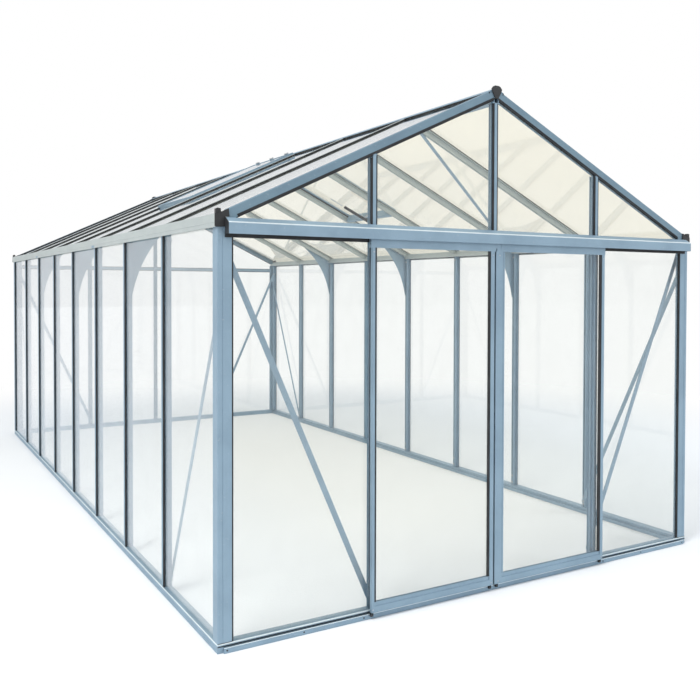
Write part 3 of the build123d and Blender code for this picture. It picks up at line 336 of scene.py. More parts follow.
rubber = moulded("glazing_rubber", deep=colour(0.012, 0.013, 0.015), worn=colour(0.045, 0.047, 0.05),
                 dull=0.6, grain=350.0, height=0.0003)
plastic = moulded("moulded_plastic", deep=colour(0.016, 0.017, 0.019), worn=colour(0.05, 0.052, 0.055),
                  dull=0.42, grain=900.0, height=0.0001)


# %% Zinc plate
def zinc_plate(name):
    """Bright metal with the small crystals of a zinc skin."""
    finish = Finish(bpy.data.materials.new(name))
    place = finish.place()
    spangle = finish.node("ShaderNodeTexVoronoi", (), {"Vector": place, "Scale": 300.0}, "Distance")
    skin = finish.blend(spangle, colour(0.42, 0.44, 0.46), colour(0.62, 0.64, 0.66))
    return finish.surface(finish.node("ShaderNodeBsdfPrincipled", (), {
        "Base Color": skin, "Roughness": 0.28 + spangle * 0.2, "Metallic": 1.0}))


zinc = zinc_plate("zinc_plate")

# %% [markdown]
# ## Which node gets which finish
#
# The CAD meshes stay as they are, and only their materials change. The finish could be chosen
# by the longest side of each mesh, but a table by name is plainer, because the names of the
# nodes tell what a bar is and so which way it runs.

# %% Dress the CAD nodes
FINISH_OF = {
    "side_sills": lengthwise_metal, "gable_sills": crosswise_metal, "corner_posts": upright_metal,
    "left_studs": upright_metal, "right_studs": upright_metal, "gutters": lit_gutter_metal,
    "ridge_beam": lengthwise_metal, "left_roof_bars": lit_left_bar_metal, "right_roof_bars": lit_right_bar_metal,
    "front_rafters": shaded_rafter_metal, "back_rafters": shaded_rafter_metal,
    "front_transom": crosswise_metal, "back_transom": crosswise_metal,
    "front_mullions": upright_metal, "back_mullions": upright_metal,
    "door_header_track": crosswise_metal, "door_guide_track": crosswise_metal,
    "left_wall_glass": wall_pane, "right_wall_glass": wall_pane,
    "left_roof_glass": roof_pane, "right_roof_glass": roof_pane,
    "front_gable_glass": wall_pane, "back_gable_glass": wall_pane, "vent_glass": roof_pane,
    "braces": crosswise_metal, "knee_plates": upright_metal, "end_caps": plastic,
    "vent_frames": right_slope_metal, "vent_sills": lengthwise_metal, "vent_openers": plastic,
    "wall_gaskets": rubber, "roof_gaskets": rubber, "gable_gaskets": rubber,
}
for side in ("left", "right"):
    FINISH_OF.update({
        f"{side}_door_stiles": upright_metal, f"{side}_door_top_rail": crosswise_metal,
        f"{side}_door_bottom_rail": crosswise_metal, f"{side}_door_glass": wall_pane,
        f"{side}_door_gaskets": rubber, f"{side}_door_runners": plastic})
for name, node in nodes.items():
    node.data.materials.clear()
    node.data.materials.append(FINISH_OF[name])
print("dressed", len(nodes), "nodes, without a finish:", sorted(set(nodes) - set(FINISH_OF)))

# %% [markdown]
# ## Two ways to make a small part
#
# Nearly every small part here is either a flat section run along a straight line, such as a
# rubber strip, or an outline turned round an axis, such as a bolt. Modifiers could do both, but
# two short functions show each corner that is made. They add to a mesh that is still open, so
# that a hundred bolts end up as one object.

# %% Run a section, or turn an outline
def run(mesh, section, start, end, side, lift):
    """Runs a flat section from `start` to `end`; its two axes point along `side` and `lift`."""
    side, lift = Vector(side), Vector(lift)
    rings = [[mesh.verts.new(Vector(at) + side * u + lift * v) for u, v in section] for at in (start, end)]
    mesh.faces.new(rings[0])
    mesh.faces.new(rings[1])
    for k in range(len(section)):
        mesh.faces.new((rings[0][k - 1], rings[0][k], rings[1][k], rings[1][k - 1]))


def turned(mesh, place, axis, outline, sides):
    """Turns an outline of (radius, height) pairs round an axis through `place`."""
    turn = Vector(axis).to_track_quat("Z", "Y")
    angles = [2 * pi * k / sides for k in range(sides)]
    rings = [[mesh.verts.new(Vector(place) + turn @ Vector((radius * cos(a), radius * sin(a), height)))
              for a in angles] for radius, height in outline]
    mesh.faces.new(rings[0])
    mesh.faces.new(rings[-1])
    for low, high in zip(rings, rings[1:]):
        for k in range(sides):
            mesh.faces.new((low[k - 1], low[k], high[k], high[k - 1]))


# %% Close a mesh and fasten it to the house or a door
def piece(name, mesh, finish, body="house"):
    """Closes a mesh, gives it a finish and lets it ride on one body of the part."""
    bmesh.ops.recalc_face_normals(mesh, faces=mesh.faces[:])
    data = bpy.data.meshes.new(name)
    mesh.to_mesh(data)
    data.materials.append(finish)
    made = bpy.data.objects.new(name, data)
    bpy.context.scene.collection.objects.link(made)
    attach(made, body)
    print(name, "has", len(data.polygons), "faces and rides on", body)
    mesh.free()


# %% [markdown]
# ## Bolts
#
# The bars have a T slot on their inner side. A bolt head slides in it, and a washer and a nut
# show inside the house: at both ends of every bar, on the braces and on the knee plates. Each
# is three turned outlines with few sides, because a bolt is seen from metres away.

# %% A washer, a nut and the tip of its bolt
WASHER = ((0.0085, 0.0), (0.0085, 0.0011), (0.0078, 0.0015))
NUT = ((0.0052, 0.0015), (0.0060, 0.0021), (0.0060, 0.0056), (0.0052, 0.0062))
TIP = ((0.0030, 0.0062), (0.0030, 0.0086), (0.0022, 0.0094))


def bolt(mesh, place, axis):
    turned(mesh, place, axis, WASHER, 14)
    turned(mesh, place, axis, NUT, 6)
    turned(mesh, place, axis, TIP, 8)


# %% Bolts on the walls and roof bars
FOOT_BOLT, FOOT_BOLT_2 = 0.025, 0.075   # above the sill
HEAD_BOLT = 0.030             # from the other end of a bar
RAFTER_BOLT = 0.045           # under a rafter
ROOF_BOLTS = (0.060, 1.560)   # down the slope
bolts = bmesh.new()
for side in SIDES:
    for y in STUD_YS:
        for z in (SILL_TOP + FOOT_BOLT, SILL_TOP + FOOT_BOLT_2, GUTTER_FLOOR - HEAD_BOLT):
            bolt(bolts, (side * INNER_X, y, z), (-side, 0, 0))
        for down in ROOF_BOLTS:
            bolt(bolts, roof_point(side, down, y, -FRAME_D), -roof_out(side))
for y, out, (transom_foot, transom_top) in GABLES:
    for x in (-GABLE_BAY, 0.0, GABLE_BAY):
        heights = [transom_top + HEAD_BOLT, under_rafter(x) - RAFTER_BOLT]
        if x or out == 1:     # the bar in the middle of the front gable ends over the doors
            heights += [SILL_TOP + FOOT_BOLT, transom_foot - HEAD_BOLT]
        for z in heights:
            bolt(bolts, (x, y - out * FRAME_D, z), (0, -out, 0))
print("bolts on the bars:", len(bolts.faces), "faces")

# %% Bolts on the braces
BRACE_T = 0.003               # thickness of a brace
BRACE_FOOT_Z = 0.085
POST_MIDDLE = 0.034           # from a corner of the house to the middle of its post
BRACE_FIX = 0.028             # from a brace's end bolt to the bar that it runs up to
SIDE_BRACE_TOP = EAVE_Z - 0.240
BACK_TRANSOM_FOOT = GABLES[1][2][0]
GABLE_BRACE_TOPS = (EAVE_Z - 0.105, BACK_TRANSOM_FOOT - BRACE_FIX)
ROOF_BRACE_TOP, ROOF_BRACE_FOOT = 0.100, INNER_X / cos(PITCH) - BRACE_FIX   # down the slope
ROOF_BRACE_SHIFT = 0.006      # the foot bolt stands this far before the bar's middle
for side in SIDES:
    for (y, out, _), top_z in zip(GABLES, GABLE_BRACE_TOPS):
        face_y = y - out * FRAME_D - out * BRACE_T
        bolt(bolts, (side * (WALL_X - POST_MIDDLE), face_y, top_z), (0, -out, 0))
        bolt(bolts, (side * GABLE_BAY, face_y, BRACE_FOOT_Z), (0, -out, 0))
    for y, z in ((FRONT_Y + POST_MIDDLE, SIDE_BRACE_TOP), (STUD_YS[0], BRACE_FOOT_Z),
                 (BACK_Y - POST_MIDDLE, SIDE_BRACE_TOP), (STUD_YS[-1], BRACE_FOOT_Z)):
        bolt(bolts, (side * (INNER_X - BRACE_T), y, z), (-side, 0, 0))
    for down, y in ((ROOF_BRACE_TOP, STUD_YS[0]), (ROOF_BRACE_FOOT, STUD_YS[1] - ROOF_BRACE_SHIFT)):
        bolt(bolts, roof_point(side, down, y, -FRAME_D - BRACE_T), -roof_out(side))
print("with those of the braces:", len(bolts.faces), "faces")

# %% Bolts on the knee plates
KNEE_T = 0.003                # thickness of a plate
KNEE_SIDE = 0.012             # from the middle of its bar to the plate
KNEE_EDGE = 0.022             # from the wall line to the edge of the plate
KNEE_FIX = 0.014              # from that edge to the bolts
KNEE_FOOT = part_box("knee_plates")[0].z
KNEE_WALL_BOLTS = (KNEE_FOOT + 0.030, KNEE_FOOT + 0.150, GUTTER_FLOOR - 0.040)
KNEE_ROOF_BOLTS = (1.340, 1.440, 1.560)   # down the slope
for side in SIDES:
    for y in STUD_YS[1::2]:
        face_y = y + KNEE_SIDE + KNEE_T
        for z in KNEE_WALL_BOLTS:
            bolt(bolts, (side * (WALL_X - KNEE_EDGE - KNEE_FIX), face_y, z), (0, 1, 0))
        for down in KNEE_ROOF_BOLTS:
            bolt(bolts, roof_point(side, down, face_y, -KNEE_EDGE - KNEE_FIX), (0, 1, 0))
piece("frame_bolts", bolts, zinc)

# %% [markdown]
# ## Rubber seals
#
# The glazing strips beside the bars are CAD nodes. What is left are the thin seals along the
# other edges of the panes: under the rafters, at the transoms and under the gutters. A black
# strip lies on the lower part of each rafter's face, a seal closes each side of the ridge, and
# a strip of rubber hangs under the door header. All are small sections with a sloping lip, run
# from bar to bar, which is also how a fitter cuts them from the roll.

# %% Seals along the edges of the panes
SEAL = ((0.0, 0.0), (0.007, 0.0), (0.007, 0.003), (0.003, 0.006), (0.0, 0.006))
RAFTER_SEAL = ((0.0, 0.0), (0.0085, 0.0), (0.0085, 0.003), (0.004, 0.005), (0.0, 0.005))
PANE_FACE = 0.0099            # outer face of the glass, in from the wall line
BAR_HALF = 0.011              # half of what a bar covers of the glass
MIDDLE_BAR_EDGE = 0.020       # from the middle of a gable to its first pane
POST_ON_GABLE, POST_ON_SIDE = 0.068, 0.058   # what a post covers of the walls that it joins
seals = bmesh.new()
gable_panes = ((MIDDLE_BAR_EDGE, GABLE_BAY - BAR_HALF), (GABLE_BAY + BAR_HALF, WALL_X - POST_ON_GABLE))
bar_edges = [y + shift for y in STUD_YS for shift in (-BAR_HALF, BAR_HALF)]
side_stops = [FRONT_Y + POST_ON_SIDE, *bar_edges, BACK_Y - POST_ON_SIDE]
for side in SIDES:
    for y, out, (transom_foot, transom_top) in GABLES:
        face_y, outwards = y - out * PANE_FACE, (0, out, 0)
        for x0, x1 in gable_panes:
            run(seals, RAFTER_SEAL, *[(side * x, face_y, under_rafter(x)) for x in (x0, x1)], outwards, DOWN)
            run(seals, SEAL, *[(side * x, face_y, transom_top) for x in (x0, x1)], outwards, UP)
            if out == 1 or x0 > GABLE_BAY:
                run(seals, SEAL, *[(side * x, face_y, transom_foot) for x in (x0, x1)], outwards, DOWN)
    face_x = side * (WALL_X - PANE_FACE)
    for y0, y1 in zip(side_stops[::2], side_stops[1::2]):
        run(seals, SEAL, (face_x, y0, GUTTER_FLOOR), (face_x, y1, GUTTER_FLOOR), (side, 0, 0), DOWN)
print("seals of the panes:", len(seals.faces), "faces")

# %% Seals on the rafters, the ridge and the header
RAFTER_LINE = ((0.0, 0.037), (0.0014, 0.0375), (0.0014, 0.0475), (0.0, 0.048))
RAFTER_LINE_ENDS = (0.036, 1.600)       # down the slope
RIDGE_SEAL = ((-0.006, -0.0098), (0.0, -0.0098), (0.0, 0.0), (-0.006, 0.0))
RIDGE_SEAL_DOWN = 0.0554
HEADER_SEAL = ((0.001, 0.0), (0.009, 0.0), (0.008, 0.027), (0.002, 0.027))
HEADER_ENDS = [(x, FRONT_Y, HEADER_LOW.z) for x in (HEADER_LOW.x, HEADER_HIGH.x)]
for side in SIDES:
    for y, out, _ in GABLES:
        ends = [roof_point(side, down, y) for down in RAFTER_LINE_ENDS]
        run(seals, RAFTER_LINE, *ends, (0, out, 0), -roof_out(side))
    ends = [roof_point(side, RIDGE_SEAL_DOWN, y) for y in (FRONT_Y, BACK_Y)]
    run(seals, RIDGE_SEAL, *ends, roof_down(side), roof_out(side))
run(seals, HEADER_SEAL, *HEADER_ENDS, TO_FRONT, DOWN)
piece("pane_seals", seals, rubber)

# %% [markdown]
# ## Covers, plugs and sleeves
#
# Where a hollow bar is cut, its end is closed: black plates shut the ends of the door header,
# and plugs fill the open ends of the side sills. A sleeve covers the joint of two gutter
# lengths, and a thin skirt hangs from the nose of the header in front of the door wheels. Plates
# and plugs are made a little smaller than the bar that they close, as the real ones are.

# %% Black end plates on the header, screws in the guide track
GUIDE_OUT = 0.012             # depth of the guide track on the front sill
HEADER_H = HEADER_HIGH.z - HEADER_LOW.z
END_PLATE = ((0.0065, -0.013), (0.0065, HEADER_H), (0.014, HEADER_H), (0.0485, 0.037), (0.0498, 0.034),
             (0.0498, -0.013))
PLATE_T = 0.0016
SCREW = ((0.0040, 0.0), (0.0040, 0.0006), (0.0028, 0.0012))
SCREW_XS = (1.478, 1.110, GABLE_BAY + 0.060)
SCREW_Z = 0.012
plugs = bmesh.new()
for side, (end_x, end_y, end_z) in zip(SIDES, HEADER_ENDS):
    run(plugs, END_PLATE, (end_x, end_y, end_z), (end_x + side * PLATE_T, end_y, end_z), TO_FRONT, UP)
    for x in SCREW_XS:
        turned(plugs, (side * x, FRONT_Y - GUIDE_OUT, SCREW_Z), TO_FRONT, SCREW, 10)
piece("header_plugs", plugs, plastic)

# %% Plugs in the side sills, sleeves on the gutters and the skirt of the header
PLUG = ((0.0042, 0.0065), (0.0065, 0.0042), (0.0415, 0.0042), (0.0438, 0.0065),
        (0.0438, 0.0335), (0.0415, 0.0358), (0.0065, 0.0358), (0.0042, 0.0335))
PLUG_T = 0.004
SLEEVE = ((0.0, 0.001), (0.0015, 0.002), (0.0015, 0.0178), (0.0, 0.0188))
SLEEVE_HALF = 0.035           # half its length along the gutter
SLEEVE_X = GUTTER_HIGH.x - 0.002
HEADER_SKIRT = ((0.0470, -0.0130), (0.0499, -0.0130), (0.0499, 0.0), (0.0470, 0.0))
fittings = bmesh.new()
for side in SIDES:
    for y, out, _ in GABLES:
        run(fittings, PLUG, (side * WALL_X, y, 0), (side * WALL_X, y - out * PLUG_T, 0), (-side, 0, 0), UP)
    for y in (STUD_YS[2], STUD_YS[5]):
        ends = [(side * SLEEVE_X, y + half, GUTTER_LOW.z) for half in (-SLEEVE_HALF, SLEEVE_HALF)]
        run(fittings, SLEEVE, *ends, (side, 0, 0), UP)
run(fittings, HEADER_SKIRT, *HEADER_ENDS, TO_FRONT, UP)
piece("sill_plugs_and_sleeves", fittings, lengthwise_metal)

# %% [markdown]
# ## Painted highlights on the beads, and dark joints
#
# The sills, the guide track and the header have a rounded bead along an edge, which shows in
# the light as one bright line, and a dark joint runs below it where two profiles meet. The CAD
# sections leave both out. Thin strips on the faces show them without a change of the sections:
# the bright line is a painted highlight in nearly white metal, and the joint is a strip of rubber.

# %% Painted highlights along the sills, the guide track and the header
HEADER_HIGHLIGHT = ((0.0450, 0.0352), (0.0499, 0.0340), (0.0499, 0.0375), (0.0450, 0.0400))
GUIDE_HIGHLIGHT = ((0.0096, 0.0220), (0.0120, 0.0220), (0.0120, 0.0240), (0.0100, 0.0248))
SILL_HIGHLIGHT = ((0.0, 0.0345), (0.0022, 0.0360), (0.0022, 0.0400), (0.0, 0.0412))
GUIDE_ENDS = [(corner.x, FRONT_Y, 0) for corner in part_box("door_guide_track")]
beads = bmesh.new()
# Thin strips of nearly white metal paint the highlight along each bead.
run(beads, HEADER_HIGHLIGHT, *HEADER_ENDS, TO_FRONT, UP)
run(beads, GUIDE_HIGHLIGHT, *GUIDE_ENDS, TO_FRONT, UP)
for side in SIDES:
    run(beads, SILL_HIGHLIGHT, (side * WALL_X, FRONT_Y, 0), (side * WALL_X, BACK_Y, 0), (side, 0, 0), UP)
for y, out, _ in GABLES:
    run(beads, SILL_HIGHLIGHT, (-WALL_X, y, 0), (WALL_X, y, 0), (0, out, 0), UP)
piece("bright_beads", beads, highlight_metal)

# %% Dark joints along the gable sills and at the foot of the posts
SILL_JOINT = ((0.0, 0.0260), (0.0010, 0.0265), (0.0010, 0.0300), (0.0, 0.0305))
POST_JOINT = ((0.0, 0.0), (0.0012, 0.0), (0.0012, 0.0025), (0.0, 0.0025))
POST_FACE = 0.066             # width of a post's face on the gable
joints = bmesh.new()
for y, out, _ in GABLES:
    run(joints, SILL_JOINT, (-WALL_X, y, 0), (WALL_X, y, 0), (0, out, 0), UP)
    for side in SIDES:
        ends = [(side * x, y, SILL_TOP) for x in (WALL_X, WALL_X - POST_FACE)]
        run(joints, POST_JOINT, *ends, (0, out, 0), UP)
piece("dark_joints", joints, rubber)

# %% [markdown]
# ## Door leaves
#
# The CAD leaves are plain frames. On the real doors the stiles are slimmer, the stile of the
# right leaf covers the gap between them, the bottom rail is stepped, and black shows only
# beside the stiles: a rubber gasket, and beside some stiles also the shaded side face of the
# stile, which the black strips here paint in as shade. The pieces below have these forms, and
# most of them stand for a CAD node, which is hidden in the picture and stays in the physics
# model. Lip, screws and brush are added. A leaf is nearly all straight bars, so one function
# makes them from their edges, and one table holds what differs between the leaves.

# %% An upright bar, from its edges
def upright(mesh, x0, x1, q0, q1, z0, z1):
    """A straight bar between two heights; q is the distance out from the front gable."""
    corners = ((x0, q0), (x1, q0), (x1, q1), (x0, q1))
    run(mesh, corners, (0, FRONT_Y, z0), (0, FRONT_Y, z1), TO_RIGHT, TO_FRONT)


# %% The sizes of both leaves
LEAF_DEPTH = (0.012, 0.032)   # back and face of a leaf, out from the gable
LEAF_FOOT = 0.034
FOOT_RAIL_H = 0.050
FOOT_TOP = LEAF_FOOT + FOOT_RAIL_H
RAIL_LIP = 0.015              # what hangs down from the top rail
FOOT_RAIL = ((LEAF_DEPTH[0], 0.0), (LEAF_DEPTH[0], FOOT_RAIL_H), (0.018, FOOT_RAIL_H), (0.018, 0.043),
             (0.026, 0.043), (0.026, FOOT_RAIL_H), (0.028, FOOT_RAIL_H), (0.028, 0.031),
             (LEAF_DEPTH[1], 0.030), (LEAF_DEPTH[1], 0.0))
# Left and right edges of the upright bars, and the places of the wheels and screws.
LEAVES = {
    "left_door": {
        "stiles": ((-0.764, -0.750), (-0.054, -0.030)), "strips": ((-0.750, -0.741), (-0.069, -0.054)),
        "lip": (-0.772, -0.0205), "brush": (-0.030, -0.0276),
        "wheels": (-0.692, -0.095), "screws": (-0.757, -0.042)},
    "right_door": {
        "stiles": ((-0.020, 0.027), (0.748, 0.768)), "strips": ((0.027, 0.0295), (0.728, 0.748)),
        "bead": (0.0295, 0.041), "cover_top": (-0.0145, 0.0115),
        "lip": (0.0120, 0.772), "brush": (-0.0224, -0.020),
        "wheels": (0.093, 0.692), "screws": (0.0035, 0.758)},
}
print("leaves from", LEAVES["left_door"]["lip"][0], "to", LEAVES["right_door"]["lip"][1])

# %% Stiles and rails of a leaf
BEAD_DEPTH = (0.014, 0.0275)
COVER_TOP_H = 0.045           # the cover stile reaches this far up between the top rails


def leaf_frame(leaf, sizes, rail_z, rail_base):
    uprights = bmesh.new()
    for edges in sizes["stiles"]:
        upright(uprights, *edges, *LEAF_DEPTH, LEAF_FOOT, rail_z)
    if "bead" in sizes:
        upright(uprights, *sizes["bead"], *BEAD_DEPTH, FOOT_TOP, rail_z)
        upright(uprights, *sizes["cover_top"], *LEAF_DEPTH, rail_z, rail_z + COVER_TOP_H)
    piece(leaf + "_slim_stiles", uprights, upright_metal, leaf)
    foot = bmesh.new()
    ends = [(x, FRONT_Y, LEAF_FOOT) for x in (sizes["stiles"][0][1], sizes["stiles"][1][0])]
    run(foot, FOOT_RAIL, *ends, TO_FRONT, UP)
    piece(leaf + "_foot_rail", foot, crosswise_metal, leaf)
    lip = bmesh.new()
    upright(lip, *sizes["lip"], *LEAF_DEPTH, rail_z, rail_base)
    piece(leaf + "_rail_lip", lip, crosswise_metal, leaf)


# %% Pane of a leaf, and its black strips of gasket and painted shade
PANE_DEPTH = (0.020, 0.024)
PANE_GRIP = 0.004             # how deep the pane stands in a stile
PANE_SINK = 0.006             # and in the bottom rail
GASKET_AND_SHADE_DEPTH = (0.0245, 0.0300)


def leaf_pane(leaf, sizes, rail_z):
    pane = bmesh.new()
    left, right = sizes["stiles"][0][1] - PANE_GRIP, sizes["stiles"][1][0] + PANE_GRIP
    upright(pane, left, right, *PANE_DEPTH, FOOT_TOP - PANE_SINK, rail_z)
    piece(leaf + "_pane", pane, wall_pane, leaf)
    strips = bmesh.new()
    # The black strips are rubber gaskets and, where they are wider, painted shade for the side face of the
    # stile beside them.
    for edges in sizes["strips"]:
        upright(strips, *edges, *GASKET_AND_SHADE_DEPTH, FOOT_TOP, rail_z)
    piece(leaf + "_strips", strips, rubber, leaf)


# %% Wheels, guides, screws and brush of a leaf
WHEEL = ((0.0105, 0.0), (0.0110, 0.0006), (0.0110, 0.0054), (0.0105, 0.0060))
HUB = ((0.0040, 0.0), (0.0040, 0.0065))
HUB_OUT, WHEEL_OUT = 0.029, 0.0325      # where they start, out from the gable
WHEEL_Z = HEADER_LOW.z + 0.0193
GUIDE_HALF = 0.007            # half the width of a guide block
GUIDE_BLOCK = ((0.013, 0.024, 0.014), (0.005, 0.0092, 0.014), (0.005, 0.024, 0.026))   # back, face, foot
PAN_HEAD = ((0.0036, 0.0), (0.0036, 0.0008), (0.0026, 0.0018), (0.0012, 0.0021))
SCREW_UP, SCREW_DOWN = 0.014, 0.020     # from the foot of a leaf, and from its top rail
BRUSH_DEPTH = (0.014, 0.022)
BRUSH_UP, BRUSH_DOWN = 0.004, 0.002


def leaf_fittings(leaf, sizes, rail_z):
    guides = bmesh.new()
    for x in sizes["wheels"]:
        turned(guides, (x, FRONT_Y - HUB_OUT, WHEEL_Z), TO_FRONT, HUB, 10)
        turned(guides, (x, FRONT_Y - WHEEL_OUT, WHEEL_Z), TO_FRONT, WHEEL, 20)
    for x0, x1 in sizes["stiles"]:
        middle = (x0 + x1) / 2
        for back, face, foot in GUIDE_BLOCK:
            upright(guides, middle - GUIDE_HALF, middle + GUIDE_HALF, back, face, foot, LEAF_FOOT)
    piece(leaf + "_guides", guides, plastic, leaf)
    screws = bmesh.new()
    for x in sizes["screws"]:
        for z in (LEAF_FOOT + SCREW_UP, rail_z - SCREW_DOWN):
            turned(screws, (x, FRONT_Y - LEAF_DEPTH[1], z), TO_FRONT, PAN_HEAD, 10)
    piece(leaf + "_screws", screws, zinc, leaf)
    brush = bmesh.new()
    upright(brush, *sizes["brush"], *BRUSH_DEPTH, LEAF_FOOT + BRUSH_UP, rail_z - BRUSH_DOWN)
    piece(leaf + "_brush", brush, rubber, leaf)


# %% Both leaves, and the CAD nodes that they stand for
for leaf, sizes in LEAVES.items():
    rail_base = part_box(leaf + "_top_rail")[0].z
    rail_z = rail_base - RAIL_LIP
    leaf_frame(leaf, sizes, rail_z, rail_base)
    leaf_pane(leaf, sizes, rail_z)
    leaf_fittings(leaf, sizes, rail_z)
    for new, old in (("slim_stiles", "stiles"), ("foot_rail", "bottom_rail"), ("pane", "glass"),
                     ("strips", "gaskets"), ("guides", "runners")):
        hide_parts(f"{leaf}_{old}")

# %% [markdown]
# ## Guide track and caps
#
# The leaves are led at their foot by a shallow channel on the front sill. Black caps close the
# corners of the gables, where rafter, gutter and post meet, and the end of the ridge. The CAD
# has a deeper channel and plain blocks there. Each of these pieces is a flat outline that is
# run a short way, as a moulding is pressed out of one plate, and stands for its CAD node.

# %% Guide track
GUIDE_RAIL = ((0.0, 0.0), (0.0, 0.022), (0.002, 0.022), (0.002, 0.004), (0.0096, 0.004), (0.0096, 0.022),
              (GUIDE_OUT, 0.022), (GUIDE_OUT, 0.0))
track = bmesh.new()
run(track, GUIDE_RAIL, *GUIDE_ENDS, TO_FRONT, UP)
piece("guide_rail", track, crosswise_metal)
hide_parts("door_guide_track")

# %% Caps
CORNER_CAP = ((1.5300, 1.8420), (1.5300, 1.8955), (1.5180, 1.9010), (1.5000, 1.9040), (1.4680, 1.9190),
              (1.4640, 1.8850), (1.4835, 1.8820), (1.4845, 1.8400), (1.5240, 1.8380))
CORNER_KNOB = ((1.5020, 1.9020), (1.5260, 1.8970), (1.5260, 1.9160), (1.5170, 1.9195), (1.5040, 1.9180))
RIDGE_CAP = ((0.0120, 2.6320), (0.0220, 2.6280), (0.0340, 2.6140), (0.0290, 2.6010), (0.0090, 2.5650),
             (-0.0090, 2.5650), (-0.0290, 2.6010), (-0.0340, 2.6140), (-0.0220, 2.6280), (-0.0120, 2.6320))
CAP_T = 0.006
KNOB_BACK = 0.012             # the knob reaches this far back over the gutter
caps = bmesh.new()
for y, out, _ in GABLES:
    far = (0, y + out * CAP_T, 0)
    run(caps, RIDGE_CAP, (0, y, 0), far, TO_RIGHT, UP)
    for side in SIDES:
        run(caps, CORNER_CAP, (0, y, 0), far, (side, 0, 0), UP)
        run(caps, CORNER_KNOB, (0, y - out * KNOB_BACK, 0), far, (side, 0, 0), UP)
piece("moulded_caps", caps, plastic)
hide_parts("end_caps")

# %% [markdown]
# ## On the roof vents
#
# Each vent turns on three hinges under the ridge. Its opener, a cylinder in the CAD, pushes it
# up by two arms that spread to the foot of the frame. Hinges and rod are turned, the arms are
# flat strips, and all are placed by distances down the slope and out of it.

# %% Hinges and opener arms
VENT_LOW, VENT_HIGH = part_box("vent_frames")
VENT_Y = (VENT_LOW.y + VENT_HIGH.y) / 2
VENT_TOP = 0.0588             # down the slope
VENT_FOOT = VENT_HIGH.x / cos(PITCH) - 0.0067
HINGE = ((0.0050, 0.0), (0.0058, 0.0008), (0.0058, 0.0592), (0.0050, 0.0600))
HINGE_SHIFTS = (-0.28, 0.0, 0.28)
HINGE_HALF, HINGE_DOWN, HINGE_OUT = 0.030, 0.006, 0.0195
ARM = ((-0.006, -0.0015), (0.006, -0.0015), (0.006, 0.0015), (-0.006, 0.0015))
ARM_SPREADS = (-0.110, 0.110)
ROD = ((0.0040, 0.0), (0.0040, 0.1200), (0.0030, 0.1230))
# Up the slope from the foot of a vent, and in from the roof bars or the pane.
PIVOT_UP, PIVOT_IN = 0.060, 0.016
ARM_FOOT_UP, ARM_FOOT_IN = 0.040, 0.001
ROD_UP, ROD_IN = 0.284, 0.020
vent_metal = bmesh.new()
for side in SIDES:
    for shift in HINGE_SHIFTS:
        place = roof_point(side, VENT_TOP + HINGE_DOWN, VENT_Y + shift - HINGE_HALF, HINGE_OUT)
        turned(vent_metal, place, (0, 1, 0), HINGE, 10)
    pivot = roof_point(side, VENT_FOOT - PIVOT_UP, VENT_Y, -FRAME_D - PIVOT_IN)
    for spread in ARM_SPREADS:
        foot = roof_point(side, VENT_FOOT - ARM_FOOT_UP, VENT_Y + spread, -ARM_FOOT_IN)
        run(vent_metal, ARM, pivot, foot, roof_down(side), UP)
    rod_end = roof_point(side, VENT_FOOT - ROD_UP, VENT_Y, -FRAME_D - ROD_IN)
    turned(vent_metal, rod_end, -roof_down(side), ROD, 10)
piece("vent_fittings", vent_metal, zinc)

# %% [markdown]
# ## The studio
#
# A pale floor carries the shadow near the house and fades to the white of the backdrop further
# out, so that no horizon shows. A real backdrop is a curved sheet, but a flat floor that fades
# needs no bend and looks the same from every side. The world is white to the camera and nearly
# white to what the panes and bars mirror. To everything else it is a soft sky, bright overhead
# and dim near the ground, which shades the metal.

# %% Floor
FLOOR_HALF = 60.0
FLOOR_NEAR, FLOOR_FAR = 3.8, 7.5        # where it starts to fade, and where it is white
FLOOR_Z = -0.001              # a hair under the sills


def studio_floor_paint(name, tone):
    """Pale paint that glows white, far from the house, for whatever looks at it."""
    finish = Finish(bpy.data.materials.new(name))
    place = finish.place()
    grain = finish.noise(place, 30.0)
    paint = finish.node("ShaderNodeBsdfDiffuse", (), {
        "Color": finish.blend(grain, tone, colour(*[v * 1.02 for v in tone[:3]]))})
    white = finish.node("ShaderNodeEmission", (), {"Color": colour(1.0, 1.0, 1.0)})
    away = finish.vector("LENGTH", place, output="Value").over(FLOOR_NEAR, FLOOR_FAR)
    looks = finish.ray("Camera").either(finish.ray("Glossy")).either(finish.ray("Transmission"))
    return finish.surface(finish.node("ShaderNodeMixShader", (), {0: away * looks, 1: paint, 2: white}))


floor_mesh = bpy.data.meshes.new("studio_floor")
corners = [(-FLOOR_HALF, -FLOOR_HALF, 0), (FLOOR_HALF, -FLOOR_HALF, 0),
           (FLOOR_HALF, FLOOR_HALF, 0), (-FLOOR_HALF, FLOOR_HALF, 0)]
floor_mesh.from_pydata(corners, [], [(0, 1, 2, 3)])
floor = bpy.data.objects.new("studio_floor", floor_mesh)
bpy.context.scene.collection.objects.link(floor)
floor.location.z = FLOOR_Z
floor_mesh.materials.append(studio_floor_paint("floor_paint", colour(0.80, 0.81, 0.83)))

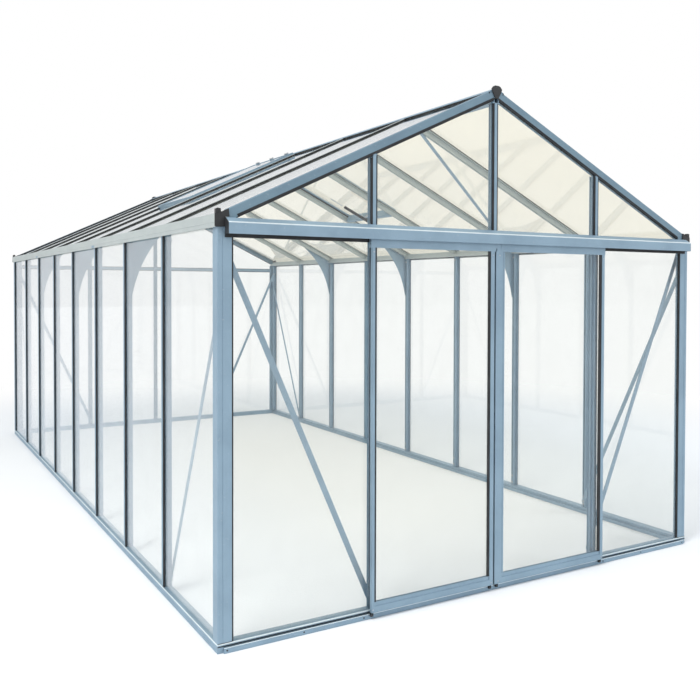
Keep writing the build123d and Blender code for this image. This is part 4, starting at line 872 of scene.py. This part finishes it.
# %% World
AMBIENT = 0.55
NEAR_GROUND, OVERHEAD = 0.45 * AMBIENT, 1.9 * AMBIENT   # strength of the soft sky
MIRROR_SHARE = 0.85           # how much of the white wall a mirrored ray sees
world = bpy.data.worlds.new("studio")
bpy.context.scene.world = world
sky = Finish(world)
upwards = sky.node("ShaderNodeSeparateXYZ", (), {0: sky.node("ShaderNodeTexCoord", output="Generated")}, "Z")
glow = upwards.over(-0.1, 0.9, NEAR_GROUND, OVERHEAD)
soft_sky = sky.node("ShaderNodeBackground", (), {"Color": colour(0.93, 0.97, 1.0), "Strength": glow})
white_wall = sky.node("ShaderNodeBackground", (), {"Color": colour(1.0, 1.0, 1.0)})
looks = sky.ray("Camera") + MIRROR_SHARE * sky.ray("Glossy").either(sky.ray("Transmission"))
shown = sky.node("ShaderNodeMixShader", (), {0: looks, 1: soft_sky, 2: white_wall})
sky.surface(shown, "ShaderNodeOutputWorld")

# %% [markdown]
# Two round lamps add a direction to the even light of the sky. One large lamp from high on the
# left gives the shadows under the bars, and a weaker one fills them from the right. A sun would
# draw every bar on the floor, which a hazy day doesn't.

# %% Lamps
LAMP_SIZE = 6.0


def soft_lamp(name, place, aim, power, tone):
    """A big round lamp that lights, but does not show as a disc in the panes."""
    lamp = bpy.data.lights.new(name, "AREA")
    lamp.shape = "DISK"
    lamp.size = LAMP_SIZE
    lamp.energy = power
    lamp.color = tone
    holder = bpy.data.objects.new(name, lamp)
    bpy.context.scene.collection.objects.link(holder)
    holder.location = place
    holder.rotation_euler = (Vector(aim) - Vector(place)).to_track_quat("-Z", "Y").to_euler()
    holder.visible_glossy = False
    print(name, "with", power, "watts")


soft_lamp("sky_lamp", (-7.0, -5.0, 9.0), (0, 0, 0.8), 900.0, (1.0, 0.98, 0.95))
soft_lamp("fill_lamp", (8.0, -8.0, 5.0), (0, 0, 1.0), 300.0, (0.95, 0.98, 1.0))

# %% [markdown]
# ## The camera
#
# It stands at eye height off the front left corner of the house, turned 31 degrees to the
# right of the ridge line and a touch downwards, with the slight shift of a cropped picture. A
# camera can be set by eye, but these numbers were fitted to corners of the house, so that its
# lines run as they do in the photograph.

# %% Camera
CAMERA_PLACE = (-2.750, -6.451, 1.581)
CAMERA_YAW = radians(31.341)
CAMERA_PITCH = radians(-1.129)
CAMERA_ROLL = radians(0.183)
LENS, SENSOR = 42.346, 36.0   # millimetres
SHIFT_X, SHIFT_Y = -0.0439, -0.0659
lens = bpy.data.cameras.new("picture_camera")
lens.lens = LENS
lens.sensor_width = SENSOR
lens.shift_x = SHIFT_X
lens.shift_y = SHIFT_Y
camera = bpy.data.objects.new("picture_camera", lens)
bpy.context.scene.collection.objects.link(camera)
camera.location = CAMERA_PLACE
camera.rotation_euler = (pi / 2 + CAMERA_PITCH, -CAMERA_ROLL, -CAMERA_YAW)
bpy.context.scene.camera = camera
bpy.context.scene.view_settings.view_transform = "Standard"
print("camera at", CAMERA_PLACE, "with a lens of", LENS, "mm")
